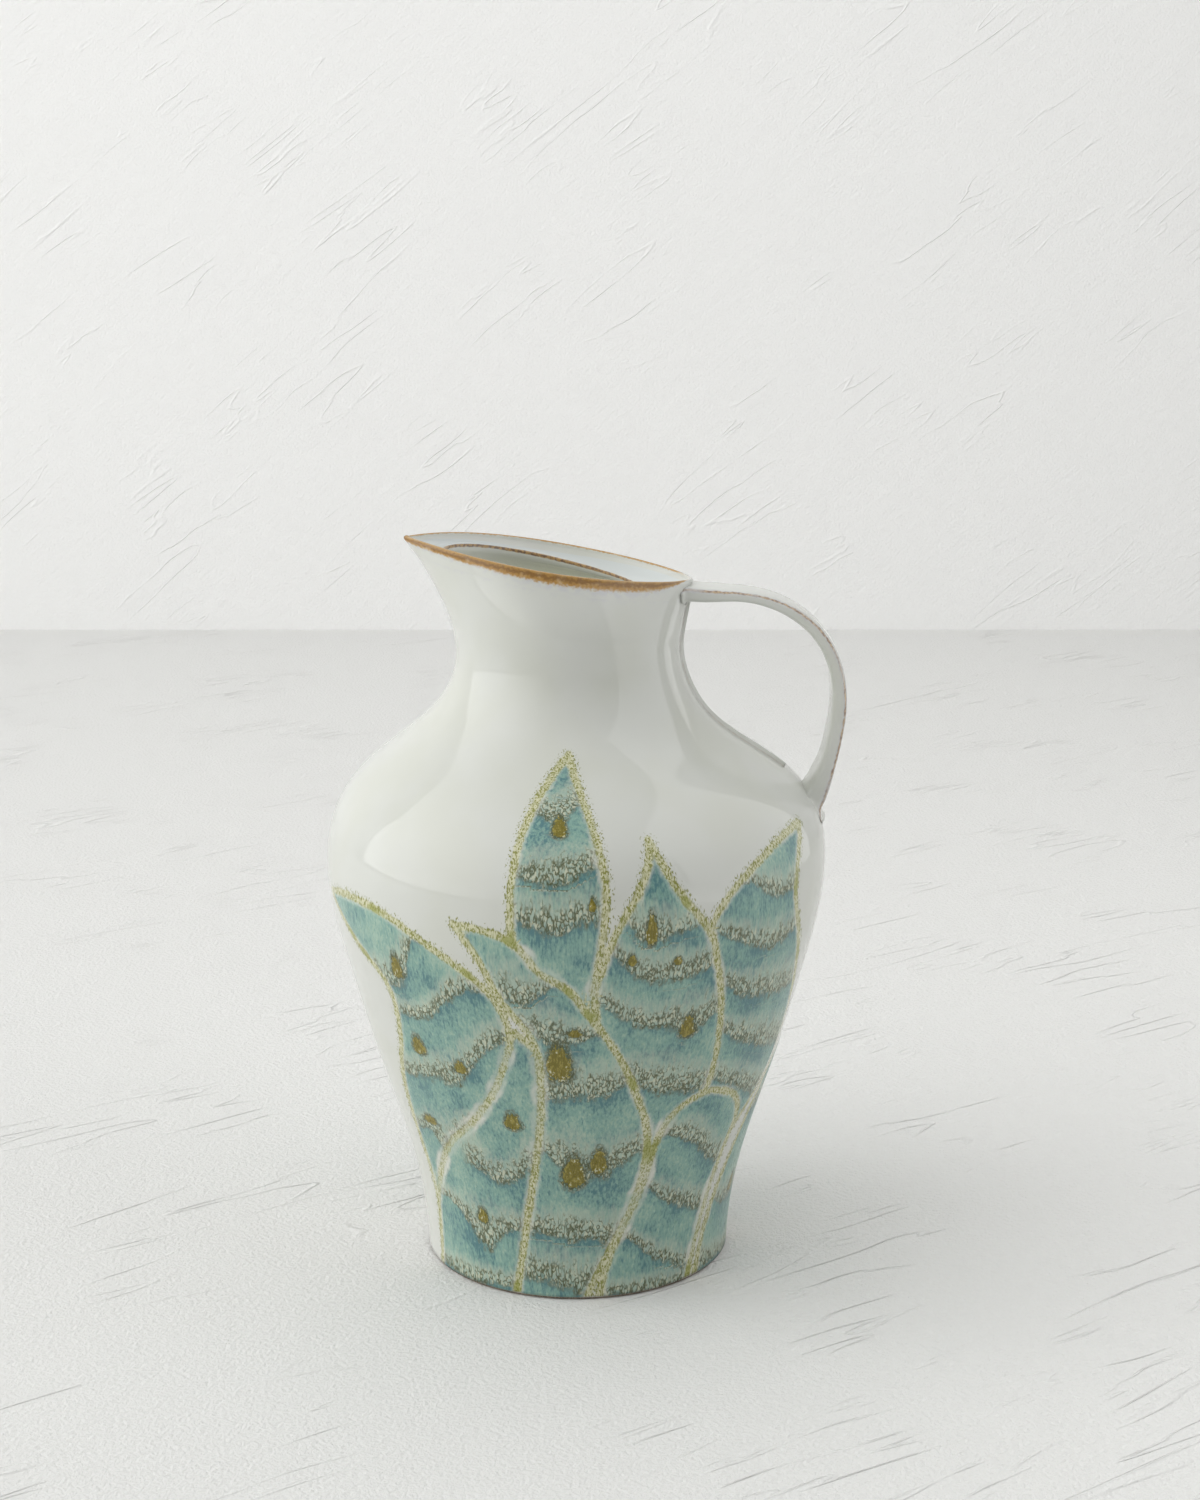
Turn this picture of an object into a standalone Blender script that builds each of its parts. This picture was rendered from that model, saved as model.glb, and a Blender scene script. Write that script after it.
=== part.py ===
"""Ceramic pitcher: a cast belly with a pinched spout, a strap handle and a glazed rim.

Metres, +Z up. The pitcher stands on Z = 0. The spout points along -X and the handle
along +X. X = 0 and Y = 0 are the middle of the overall outline, so the belly's own
axis lies a few millimetres towards the spout, at AXIS_X.
"""
import math

import bmesh
import bpy
from mathutils import Vector

# Belly and shoulder: (height, radius) of the turned outline from foot to neck.
OUTLINE = [
    (0.0043, 0.0700),
    (0.0200, 0.0713),
    (0.0450, 0.0759),
    (0.0950, 0.0912),
    (0.1450, 0.1057),
    (0.1880, 0.1134),
    (0.2120, 0.1087),
    (0.2340, 0.0890),
    (0.2580, 0.0598),
    (0.2830, 0.0502),
]
OUTLINE_RINGS = 26
NECK_Z = OUTLINE[-1][0]
NECK_RADIUS = OUTLINE[-1][1]
NECK_LEAN = 0.0036
LEAN_FROM_Z = 0.215
LEAN_TO_Z = 0.250

# Rim: a pointed oval that climbs towards the spout.
RIM_CENTRE_X = -0.0120
RIM_HALF_LENGTH = 0.0641
RIM_HALF_WIDTH = 0.0417
RIM_POINT_HANDLE = 1.30
RIM_POINT_SPOUT = 1.75
RIM_Z_HANDLE = 0.3152
RIM_RISE = 0.0188
SPOUT_LIFT = 0.55
RIM_FLARE = 1.45
NECK_FULLNESS = 0.0022
FLARE_RINGS = 6
LIP_ROUND = 0.0013

# Pour opening: the sharp inner edge below the rim.
OPENING_CENTRE_X = -0.0140
OPENING_HALF_LENGTH = 0.0436
OPENING_HALF_WIDTH = 0.0330
OPENING_DROP = 0.0056
OPENING_EDGE = 0.0024

WALL = 0.0050
FLOOR_Z = 0.0105
SEGMENTS = 48

# Foot ring, left bare of glaze.
FOOT_HEIGHT = 0.0040
FOOT_RADIUS = 0.0695
FOOT_WIDTH = 0.0110
FOOT_CHAMFER = 0.0008

# Handle: strap thickness along its centre line, as (distance from axis, height, thickness).
STRAP_LINE = [
    (0.0400, 0.3105, 0.0080),
    (0.0560, 0.3090, 0.0068),
    (0.0720, 0.3085, 0.0052),
    (0.0850, 0.3061, 0.0053),
    (0.0980, 0.2999, 0.0058),
    (0.1085, 0.2903, 0.0062),
    (0.1153, 0.2772, 0.0065),
    (0.1178, 0.2600, 0.0069),
    (0.1160, 0.2440, 0.0071),
    (0.1126, 0.2300, 0.0078),
    (0.1083, 0.2206, 0.0118),
    (0.1048, 0.2140, 0.0150),
    (0.1030, 0.2080, 0.0150),
]
STRAP_WIDTH = 0.0240
STRAP_ROOT_FLARE = 0.12
STRAP_FLARE_REACH = 0.016
STRAP_EDGE = 0.0009
HANDLE_REACH = 0.1213

# Gaps and skins between neighbouring pieces.
GAP = 0.0003
LUTING = 0.0011
WEB_HEIGHT = 0.0016
WEB_WIDTH = 0.0060
UPPER_JOINT = (0.3030, 0.3106)
LOWER_JOINT = (0.2085, 0.2280)
STRIP_STEP = 0.0050
RIM_GLAZE = 0.0007
RIM_GLAZE_DROP = 0.0040

AXIS_X = (max(radius for height, radius in OUTLINE) - HANDLE_REACH) / 2

ASSEMBLY = "ceramic_pitcher"


def clear_scene():
    for obj in list(bpy.data.objects):
        bpy.data.objects.remove(obj, do_unlink=True)


def new_collection(name):
    group = bpy.data.collections.new(name)
    bpy.context.scene.collection.children.link(group)
    return group


def make_material(name, colour, roughness):
    material = bpy.data.materials.new(name)
    material.use_nodes = True
    shader = material.node_tree.nodes["Principled BSDF"]
    shader.inputs["Base Color"].default_value = (*colour, 1.0)
    shader.inputs["Roughness"].default_value = roughness
    shader.inputs["Metallic"].default_value = 0.0
    return material


def smoothstep(low, high, value):
    t = min(max((value - low) / (high - low), 0.0), 1.0)
    return t * t * (3.0 - 2.0 * t)


def spline_through(points, count, beyond=None):
    """Even samples of a Catmull-Rom curve through points, heading for a point beyond."""
    points = [Vector(point) for point in points]
    heading = Vector(beyond) if beyond else 2 * points[-1] - points[-2]
    padded = [2 * points[0] - points[1], *points, heading]
    spans = len(points) - 1
    samples = []
    for i in range(count):
        place = spans * i / (count - 1)
        span = min(int(place), spans - 1)
        t = place - span
        a, b, c, d = padded[span:span + 4]
        curve = 2 * b + (c - a) * t + (2 * a - 5 * b + 4 * c - d) * t * t
        curve += (3 * b - a - 3 * c + d) * t ** 3
        samples.append(curve / 2)
    return samples


def angles():
    return [math.tau * i / SEGMENTS for i in range(SEGMENTS)]


def neck_centre(z):
    return AXIS_X - NECK_LEAN * smoothstep(LEAN_FROM_Z, LEAN_TO_Z, z)


def round_ring(z, radius):
    x = neck_centre(z)
    return [Vector((x + radius * math.cos(a), radius * math.sin(a), z)) for a in angles()]


def outline_samples():
    """The turned outline's rings; it reaches the neck with an upright tangent."""
    below_z, below_radius = OUTLINE[-2]
    return spline_through(OUTLINE, OUTLINE_RINGS, (2 * NECK_Z - below_z, below_radius))


def outline_radius(z):
    """The turned outline's radius at a height, straight between its rings."""
    samples = outline_samples()
    for (z_low, radius_low), (z_high, radius_high) in zip(samples, samples[1:]):
        if z <= z_high:
            return radius_low + (radius_high - radius_low) * (z - z_low) / (z_high - z_low)
    return NECK_RADIUS


def rim_height(angle):
    """The rim climbs steadily from the handle and levels off near the spout's tip."""
    along = (1.0 - math.cos(angle)) / 2
    return RIM_Z_HANDLE + RIM_RISE * (along + SPOUT_LIFT * along ** 4 * (1.0 - along))


def rim_point(angle):
    mix = (1.0 - math.cos(angle)) / 2
    power = RIM_POINT_HANDLE + (RIM_POINT_SPOUT - RIM_POINT_HANDLE) * mix
    x = AXIS_X + RIM_CENTRE_X + RIM_HALF_LENGTH * math.cos(angle)
    side = math.copysign(abs(math.sin(angle)) ** power, math.sin(angle))
    return Vector((x, RIM_HALF_WIDTH * side, rim_height(angle)))


def opening_point(angle):
    x = AXIS_X + OPENING_CENTRE_X + OPENING_HALF_LENGTH * math.cos(angle)
    y = OPENING_HALF_WIDTH * math.sin(angle)
    return Vector((x, y, rim_height(angle) - OPENING_DROP))


def flare_point(angle, t):
    """The neck's wall between its narrowest ring (t = 0) and the rim (t = 1)."""
    start = Vector((neck_centre(NECK_Z) + NECK_RADIUS * math.cos(angle), NECK_RADIUS * math.sin(angle), NECK_Z))
    end = rim_point(angle)
    rise = Vector((0.0, 0.0, end.z - start.z))
    leave = (end - start) * RIM_FLARE
    leave.z = rise.z
    point = start * (2 * t ** 3 - 3 * t ** 2 + 1) + rise * (t ** 3 - 2 * t ** 2 + t)
    point += end * (3 * t ** 2 - 2 * t ** 3) + leave * (t ** 3 - t ** 2)
    point.y += NECK_FULLNESS * math.sin(angle) ** 3 * (4 * t * (1 - t)) ** 2
    return point


def handle_side_point(z, y):
    """The outer wall's point nearest the handle at a height and a sideways distance."""
    angle = math.asin(y / outline_radius(z))
    if z > NECK_Z:
        return flare_point(angle, (z - NECK_Z) / (RIM_Z_HANDLE - NECK_Z))
    return Vector((neck_centre(z) + outline_radius(z) * math.cos(angle), y, z))


def glaze_line():
    """The line on the neck where the rim's glaze ends."""
    return [flare_point(a, 1 - RIM_GLAZE_DROP / (rim_height(a) - NECK_Z)) for a in angles()]


def inward(ring, distance, drop):
    """A ring moved towards its own middle by a distance, and down by a drop."""
    count = len(ring)
    moved = []
    for i, point in enumerate(ring):
        along = ring[(i + 1) % count] - ring[i - 1]
        normal = Vector((-along.y, along.x, 0.0)).normalized()
        moved.append(point + normal * distance - Vector((0.0, 0.0, drop)))
    return moved


def outer_rings():
    """Rings of the outer wall from the foot to the rim's crest."""
    rings = [round_ring(z, radius) for z, radius in outline_samples()]
    for step in range(1, FLARE_RINGS + 1):
        rings.append([flare_point(a, step / (FLARE_RINGS + 1)) for a in angles()])
    rings.append(glaze_line())
    rings.append([rim_point(a) - Vector((0.0, 0.0, LIP_ROUND)) for a in angles()])
    return rings


def inner_rings():
    """Rings of the inner wall from the opening's edge down to the floor."""
    edge = [opening_point(a) for a in angles()]
    rings = [edge, inward(edge, -OPENING_EDGE / 3, OPENING_EDGE)]
    for t in (0.72, 0.45, 0.20):
        rings.append(inward([flare_point(a, t) for a in angles()], WALL, 0.0))
    for z, radius in reversed(outline_samples()[2::2]):
        if z > FLOOR_Z:
            rings.append(round_ring(z, radius - WALL))
    rings.append(round_ring(FLOOR_Z, OUTLINE[0][1] - 2 * WALL))
    return rings


def add_mesh(name, bm, group, material=None):
    bmesh.ops.recalc_face_normals(bm, faces=bm.faces)
    mesh = bpy.data.meshes.new(name)
    bm.to_mesh(mesh)
    bm.free()
    obj = bpy.data.objects.new(name, mesh)
    group.objects.link(obj)
    if material:
        mesh.materials.append(material)
        mesh.shade_smooth()
        mesh.set_sharp_from_angle(angle=math.radians(38))
    return obj


def loft(rings, capped=True):
    """Faces between neighbouring rings; either capped at both ends or closed on itself."""
    bm = bmesh.new()
    loops = [[bm.verts.new(point) for point in ring] for ring in rings]
    count = len(loops[0])
    pairs = list(zip(loops, loops[1:]))
    if not capped:
        pairs.append((loops[-1], loops[0]))
    for low, high in pairs:
        for i in range(count):
            j = (i + 1) % count
            bm.faces.new((low[i], low[j], high[j], high[i]))
    if capped:
        for loop in (loops[0], loops[-1]):
            middle = bm.verts.new(sum((v.co for v in loop), Vector()) / count)
            for i in range(count):
                bm.faces.new((loop[i], loop[(i + 1) % count], middle))
    return bm


def make_body(group, material):
    outer = outer_rings()
    crest = [rim_point(a) for a in angles()]
    lip = [inward(crest, LIP_ROUND, 0.0), inward(crest, 2 * LIP_ROUND, LIP_ROUND)]
    return add_mesh("body", loft(outer + lip + inner_rings()), group, material)


def grown_body(name, growth, group):
    """The pitcher's outer form, solid right through and larger all over by growth."""
    crest = [rim_point(a) for a in angles()]
    bm = loft(outer_rings() + [inward(crest, LIP_ROUND, 0.0)])
    bmesh.ops.recalc_face_normals(bm, faces=bm.faces)
    bm.normal_update()
    moved = [(v, v.co + v.normal * growth) for v in bm.verts]
    for vertex, place in moved:
        vertex.co = place
    cutter = add_mesh(name, bm, group)
    cutter.hide_render = True
    cutter.display_type = "WIRE"
    return cutter


def cut(obj, cutter, operation):
    boolean = obj.modifiers.new(f"{operation.lower()}_{cutter.name}", "BOOLEAN")
    boolean.operation = operation
    boolean.object = cutter
    return boolean


def make_foot_ring(group, material):
    """A square bead of clay with chamfered corners, turned about the belly's axis."""
    inner = FOOT_RADIUS - FOOT_WIDTH
    profile = [
        (FOOT_RADIUS, FOOT_HEIGHT),
        (FOOT_RADIUS, FOOT_CHAMFER),
        (FOOT_RADIUS - FOOT_CHAMFER, 0.0),
        (inner + FOOT_CHAMFER, 0.0),
        (inner, FOOT_CHAMFER),
        (inner, FOOT_HEIGHT),
        (FOOT_RADIUS, FOOT_HEIGHT),
    ]
    mesh = bpy.data.meshes.new("foot_ring")
    edges = [(i, i + 1) for i in range(len(profile) - 1)]
    mesh.from_pydata([(x, 0.0, z) for x, z in profile], edges, [])
    foot = bpy.data.objects.new("foot_ring", mesh)
    foot.location.x = AXIS_X
    group.objects.link(foot)
    mesh.materials.append(material)
    screw = foot.modifiers.new("turn", "SCREW")
    screw.steps = SEGMENTS
    screw.render_steps = SEGMENTS
    screw.use_merge_vertices = True
    screw.merge_threshold = 0.00005
    screw.use_smooth_shade = False
    weld = foot.modifiers.new("close_profile", "WELD")
    weld.merge_threshold = 0.00005
    return foot


def strap_outline():
    """The strap seen from the side: its centre line set off by half its thickness."""
    line = spline_through(STRAP_LINE, 4 * len(STRAP_LINE))
    outside = []
    inside = []
    for i, point in enumerate(line):
        along = line[min(i + 1, len(line) - 1)] - line[max(i - 1, 0)]
        normal = Vector((-along.y, along.x)).normalized() * point.z / 2
        centre = Vector((AXIS_X + point.x, point.y))
        outside.append(centre + normal)
        inside.append(centre - normal)
    return outside + inside[::-1]


def make_handle(group, material, body_cutter):
    """The strap: a flat outline given the strap's width, with softened edges."""
    curve = bpy.data.curves.new("strap", "CURVE")
    curve.dimensions = "2D"
    curve.fill_mode = "BOTH"
    curve.extrude = STRAP_WIDTH / 2
    outline = strap_outline()
    spline = curve.splines.new("POLY")
    spline.points.add(len(outline) - 1)
    for point, place in zip(spline.points, outline):
        point.co = (place.x, place.y, 0.0, 1.0)
    spline.use_cyclic_u = True
    guide = bpy.data.objects.new("strap_curve", curve)
    guide.rotation_euler = (math.radians(90), 0.0, 0.0)
    group.objects.link(guide)
    bpy.context.view_layer.update()
    evaluated = guide.evaluated_get(bpy.context.evaluated_depsgraph_get())
    mesh = bpy.data.meshes.new_from_object(evaluated)
    mesh.transform(guide.matrix_world)
    bpy.data.objects.remove(guide)
    bm = bmesh.new()
    bm.from_mesh(mesh)
    bmesh.ops.remove_doubles(bm, verts=bm.verts, dist=0.00001)
    root_x = neck_centre(NECK_Z) + NECK_RADIUS
    for vertex in bm.verts:
        reach = 1.0 - smoothstep(root_x, root_x + STRAP_FLARE_REACH, vertex.co.x)
        vertex.co.y *= 1.0 + STRAP_ROOT_FLARE * reach
    handle = add_mesh("handle", bm, group, material)
    bpy.data.meshes.remove(mesh)
    edge = handle.modifiers.new("soft_edges", "BEVEL")
    edge.width = STRAP_EDGE
    edge.segments = 2
    edge.limit_method = "ANGLE"
    edge.angle_limit = math.radians(60)
    cut(handle, body_cutter, "DIFFERENCE")
    return handle


def wall_strip(name, half_width, low, high, thickness, group, material):
    """A layer on the handle side of the wall, a gap outside it, between two heights."""
    bm = bmesh.new()
    rows = 1 + math.ceil((high - low) / STRIP_STEP)
    columns = 1 + 2 * math.ceil(half_width / STRIP_STEP)
    grid = []
    for row in range(rows):
        z = low + (high - low) * row / (rows - 1)
        places = [half_width * (2 * k / (columns - 1) - 1) for k in range(columns)]
        grid.append([bm.verts.new(handle_side_point(z, y)) for y in places])
    for below, above in zip(grid, grid[1:]):
        for k in range(columns - 1):
            bm.faces.new((below[k], below[k + 1], above[k + 1], above[k]))
    bm.normal_update()
    for vertex in bm.verts:
        vertex.co += vertex.normal * GAP
    mesh = bpy.data.meshes.new(name)
    bm.to_mesh(mesh)
    bm.free()
    strip = bpy.data.objects.new(name, mesh)
    group.objects.link(strip)
    mesh.materials.append(material)
    mesh.shade_smooth()
    shell = strip.modifiers.new("thickness", "SOLIDIFY")
    shell.thickness = thickness
    shell.offset = 1.0
    return strip


def make_rim_glaze(group, material):
    """A bead of glaze saddled over the rim, a glaze thickness outside the clay."""
    crest = [rim_point(a) for a in angles()]
    up = GAP + RIM_GLAZE
    below = glaze_line()
    rings = [
        inward(below, -GAP, 0.0),
        inward(below, -up, 0.0),
        inward(crest, -up, LIP_ROUND),
        inward(crest, LIP_ROUND - up / 2, -up),
        inward(crest, LIP_ROUND + up / 2, -up),
        inward(crest, 2 * LIP_ROUND + up, LIP_ROUND),
        inward(crest, 2 * LIP_ROUND + GAP, LIP_ROUND),
        inward(crest, LIP_ROUND + GAP / 2, -GAP),
        inward(crest, LIP_ROUND - GAP / 2, -GAP),
        inward(crest, -GAP, LIP_ROUND),
    ]
    return add_mesh("rim_glaze", loft(rings, capped=False), group, material)


def build():
    clear_scene()
    pieces = new_collection(ASSEMBLY)
    cutters = new_collection("cutters")
    glaze = make_material("body_glaze", (0.80, 0.82, 0.78), 0.12)
    clay = make_material("bare_clay", (0.46, 0.38, 0.29), 0.85)
    strap_glaze = make_material("handle_glaze", (0.78, 0.80, 0.76), 0.14)
    slip = make_material("joint_glaze", (0.74, 0.74, 0.70), 0.20)
    iron = make_material("iron_rim_glaze", (0.42, 0.21, 0.06), 0.25)

    body_at_handle = grown_body("body_at_handle", 2 * GAP + LUTING, cutters)

    make_body(pieces, glaze)
    make_foot_ring(pieces, clay)
    make_handle(pieces, strap_glaze, body_at_handle)
    make_rim_glaze(pieces, iron)

    half_strap = STRAP_WIDTH / 2 * (1 + STRAP_ROOT_FLARE) + LUTING
    wall_strip("upper_luting", half_strap, *UPPER_JOINT, LUTING, pieces, slip)
    wall_strip("lower_luting", half_strap, *LOWER_JOINT, LUTING, pieces, slip)
    web_from = LOWER_JOINT[1] + GAP
    web_to = UPPER_JOINT[0] - GAP
    wall_strip("handle_web", WEB_WIDTH / 2, web_from, web_to, WEB_HEIGHT, pieces, strap_glaze)


build()
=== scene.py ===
"""Looks of the ceramic pitcher: glazed body, painted leaves, strap handle, iron-brown rim.

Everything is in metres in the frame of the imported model. Lengths that are easier to read
in millimetres end in _MM. The spout points along -X, the handle along +X, and the front,
where the painting is richest, faces -Y. Places on the painted belly are given as
(degrees from the front, turning towards the handle; height in millimetres).
"""
import math

import bpy
import numpy as np
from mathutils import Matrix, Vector
from mathutils.bvhtree import BVHTree
from mathutils.kdtree import KDTree


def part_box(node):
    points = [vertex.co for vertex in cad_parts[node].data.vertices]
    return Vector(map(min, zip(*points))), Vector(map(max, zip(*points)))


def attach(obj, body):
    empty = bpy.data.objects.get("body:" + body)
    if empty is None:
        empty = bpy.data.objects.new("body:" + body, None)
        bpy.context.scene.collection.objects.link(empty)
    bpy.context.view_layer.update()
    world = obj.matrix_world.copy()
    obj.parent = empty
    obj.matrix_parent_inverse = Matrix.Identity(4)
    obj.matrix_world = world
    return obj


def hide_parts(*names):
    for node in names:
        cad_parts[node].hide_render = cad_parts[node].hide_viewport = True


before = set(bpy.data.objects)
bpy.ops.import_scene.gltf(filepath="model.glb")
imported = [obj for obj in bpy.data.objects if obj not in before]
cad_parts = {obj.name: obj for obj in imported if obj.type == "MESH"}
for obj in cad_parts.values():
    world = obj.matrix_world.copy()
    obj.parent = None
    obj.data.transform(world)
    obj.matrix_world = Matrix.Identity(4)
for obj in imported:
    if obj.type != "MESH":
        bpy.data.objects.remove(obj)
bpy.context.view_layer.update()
MM = 0.001

# ---------------------------------------------------------------- sizes from the frame
FOOT_LOW, FOOT_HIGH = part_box("foot_ring")
BODY_LOW, BODY_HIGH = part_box("body")
_, RIM_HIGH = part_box("rim_glaze")
AXIS_X = (FOOT_LOW.x + FOOT_HIGH.x) / 2
FOOT_RADIUS = (FOOT_HIGH.x - FOOT_LOW.x) / 2
BODY_BASE = BODY_LOW.z

# The painted glaze stands this far off the belly, so the belly is drawn in by as much.
GLAZE_RELIEF = 0.0003
# The glaze runs down over the foot ring and stops just above the table.
GLAZE_FOOT = (0.0013, FOOT_RADIUS + 0.0004)

# The turned outline of the belly, as (height, radius), the same points as the frame's.
OUTLINE = [
    (BODY_BASE, 0.0700),
    (0.0200, 0.0713),
    (0.0450, 0.0759),
    (0.0950, 0.0912),
    (0.1450, 0.1057),
    (0.1880, (BODY_HIGH.y - BODY_LOW.y) / 2 - GLAZE_RELIEF),
    (0.2120, 0.1087),
    (0.2340, 0.0890),
    (0.2580, 0.0598),
    (0.2830, 0.0502),
]
NECK_Z, NECK_RADIUS = OUTLINE[-1]
NECK_LEAN = 0.0036
LEAN_FROM_Z = 0.215
LEAN_TO_Z = 0.250

# The rim: a pointed oval that climbs towards the spout, and the opening inside it.
RIM_HALF_LENGTH = 0.0641
RIM_HALF_WIDTH = 0.0417
RIM_CENTRE_X = AXIS_X - 0.0120
RIM_POINT_HANDLE = 1.30
RIM_POINT_SPOUT = 1.75
RIM_Z_HANDLE = 0.3152
RIM_RISE = RIM_HIGH.z - 0.0010 - RIM_Z_HANDLE
SPOUT_LIFT = 0.55
RIM_FLARE = 1.45
NECK_FULLNESS = 0.0022
LIP_ROUND = 0.0012
OPENING_CENTRE_X = AXIS_X - 0.0140
OPENING_HALF_LENGTH = 0.0436
OPENING_HALF_WIDTH = 0.0330
OPENING_DROP = 0.0056
OPENING_EDGE = 0.0024
WALL = 0.0050
FLOOR_Z = 0.0105
LEDGE_DIP = 0.0016

COLUMNS = 240
OUTER_LEVELS = 190
WALL_LEVELS = 420
HANDLE_DEGREES = 90.0

# Handle strap: (distance from the belly's axis, height, thickness) along its middle.
STRAP_LINE = [
    (0.0405, 0.3078, 0.0046),
    (0.0476, 0.3093, 0.0066),
    (0.0560, 0.3090, 0.0068),
    (0.0720, 0.3085, 0.0052),
    (0.0850, 0.3061, 0.0053),
    (0.0980, 0.2999, 0.0058),
    (0.1085, 0.2903, 0.0062),
    (0.1153, 0.2772, 0.0065),
    (0.1178, 0.2600, 0.0069),
    (0.1160, 0.2440, 0.0071),
    (0.1126, 0.2300, 0.0080),
    (0.1093, 0.2206, 0.0098),
    (0.1080, 0.2130, 0.0078),
    (0.1086, 0.2060, 0.0048),
    (0.1078, 0.2000, 0.0028),
    (0.1040, 0.1930, 0.0020),
]
STRAP_WIDTH = 0.0240
FILLET = 0.0050


# ---------------------------------------------------------------- curves
def spline_at(knots, values, where):
    """The natural cubic spline that has these values at the knots, read at other places."""
    knots = np.asarray(knots, float)
    values = np.asarray(values, float)
    where = np.asarray(where, float)
    count = len(knots)
    gap = np.diff(knots)
    system = np.eye(count)
    pull = np.zeros_like(values)
    for i in range(1, count - 1):
        system[i, i - 1:i + 2] = gap[i - 1], 2 * (gap[i - 1] + gap[i]), gap[i]
        rise = (values[i + 1] - values[i]) / gap[i]
        pull[i] = 6 * (rise - (values[i] - values[i - 1]) / gap[i - 1])
    bend = np.linalg.solve(system, pull.reshape(count, -1)).reshape(values.shape)
    span = np.clip(np.searchsorted(knots, where, "right") - 1, 0, count - 2)
    shape = (-1,) + (1,) * (values.ndim - 1)
    width = gap[span].reshape(shape)
    late = (where - knots[span]).reshape(shape) / width
    early = 1 - late
    curve = early * values[span] + late * values[span + 1]
    sag = (early ** 3 - early) * bend[span] + (late ** 3 - late) * bend[span + 1]
    return curve + sag * width ** 2 / 6


def smooth_line(points, count):
    """Even samples of a smooth line through points."""
    points = np.asarray(points, float)
    steps = np.linalg.norm(np.diff(points, axis=0), axis=1)
    knots = np.concatenate([[0.0], np.cumsum(steps)])
    return spline_at(knots, points, np.linspace(0.0, knots[-1], count))


def smoothstep(low, high, value):
    t = np.clip((value - low) / (high - low), 0.0, 1.0)
    return t * t * (3.0 - 2.0 * t)


# ---------------------------------------------------------------- the wall of the pitcher
def neck_centre(z):
    return AXIS_X - NECK_LEAN * smoothstep(LEAN_FROM_Z, LEAN_TO_Z, z)


def round_ring(z, radius, turns):
    ring = [neck_centre(z) + radius * np.cos(turns), radius * np.sin(turns), np.full_like(turns, z)]
    return np.stack(ring, axis=-1)


def rim_height(turns):
    along = (1.0 - np.cos(turns)) / 2
    return RIM_Z_HANDLE + RIM_RISE * (along + SPOUT_LIFT * along ** 4 * (1.0 - along))


def rim_ring(turns):
    mix = (1.0 - np.cos(turns)) / 2
    power = RIM_POINT_HANDLE + (RIM_POINT_SPOUT - RIM_POINT_HANDLE) * mix
    side = np.sign(np.sin(turns)) * np.abs(np.sin(turns)) ** power
    x = RIM_CENTRE_X + RIM_HALF_LENGTH * np.cos(turns)
    return np.stack([x, RIM_HALF_WIDTH * side, rim_height(turns)], axis=-1)


def opening_ring(turns):
    x = OPENING_CENTRE_X + OPENING_HALF_LENGTH * np.cos(turns)
    y = OPENING_HALF_WIDTH * np.sin(turns)
    return np.stack([x, y, rim_height(turns) - OPENING_DROP], axis=-1)


def flare_ring(t, turns):
    """The wall between the neck's narrowest ring (t = 0) and the rim (t = 1)."""
    start = round_ring(NECK_Z, NECK_RADIUS, turns)
    end = rim_ring(turns)
    rise = (end - start) * [0.0, 0.0, 1.0]
    leave = (end - start) * [RIM_FLARE, RIM_FLARE, 1.0]
    ring = start * (2 * t ** 3 - 3 * t ** 2 + 1) + rise * (t ** 3 - 2 * t ** 2 + t)
    ring = ring + end * (3 * t ** 2 - 2 * t ** 3) + leave * (t ** 3 - t ** 2)
    ring[..., 1] += NECK_FULLNESS * np.sin(turns) ** 3 * (4 * t * (1 - t)) ** 2
    return ring


def guide_rings(turns):
    """The rings that every column of the outer wall runs through."""
    rings = [round_ring(z, radius, turns) for z, radius in [GLAZE_FOOT, *OUTLINE]]
    rings += [flare_ring(t, turns) for t in (0.3, 0.6, 0.85)]
    return np.array(rings + [rim_ring(turns) - [0.0, 0.0, LIP_ROUND]])


def knots_along(rings):
    """Distances along an average column at which rings lie."""
    steps = np.linalg.norm(np.diff(rings, axis=0), axis=2).mean(axis=1)
    return np.concatenate([[0.0], np.cumsum(steps)])


KNOTS = knots_along(guide_rings(np.linspace(0.0, math.tau, 48, endpoint=False)))


def wall_columns(turns, levels):
    """The outer wall from the foot to just under the rim's crest: (levels, columns, xyz)."""
    return spline_at(KNOTS, guide_rings(turns), np.linspace(0.0, KNOTS[-1], levels))


def at_heights(column, heights):
    """Points of one column of the wall at heights."""
    return np.stack([np.interp(heights, column[:, 2], column[:, axis]) for axis in range(3)], axis=-1)


def columns_at(degrees):
    turns = np.radians(np.asarray(degrees, float) - HANDLE_DEGREES)
    return wall_columns(turns, WALL_LEVELS)


def wall_points(degrees, height):
    """Points of the outer wall at (degrees from the front, height in metres) pairs."""
    columns = columns_at(degrees)
    return np.array([at_heights(columns[:, i], z) for i, z in enumerate(height)])


def wall_grid(degrees, heights):
    """Points of the outer wall on a grid of (height, degrees): (rows, columns, xyz)."""
    columns = columns_at(degrees)
    return np.stack([at_heights(columns[:, j], heights) for j in range(len(degrees))], axis=1)


def belly_radius(height):
    """The belly's radius at a height, both in millimetres."""
    return np.interp(height * MM, *zip(*OUTLINE)) / MM


def inward(ring, distance, drop):
    """A closed ring moved towards its own middle by a distance, and down by a drop."""
    along = np.roll(ring, -1, axis=0) - np.roll(ring, 1, axis=0)
    normal = np.stack([-along[:, 1], along[:, 0], np.zeros(len(ring))], axis=-1)
    normal /= np.linalg.norm(normal, axis=1, keepdims=True)
    return ring + normal * distance - [0.0, 0.0, drop]


def lip_ring(crest, bow):
    """The ring on the rounded lip at an angle: 0 outside, a quarter turn on top, a half inside."""
    return inward(crest, LIP_ROUND * (1 - math.cos(bow)), LIP_ROUND * (1 - math.sin(bow)))


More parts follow.
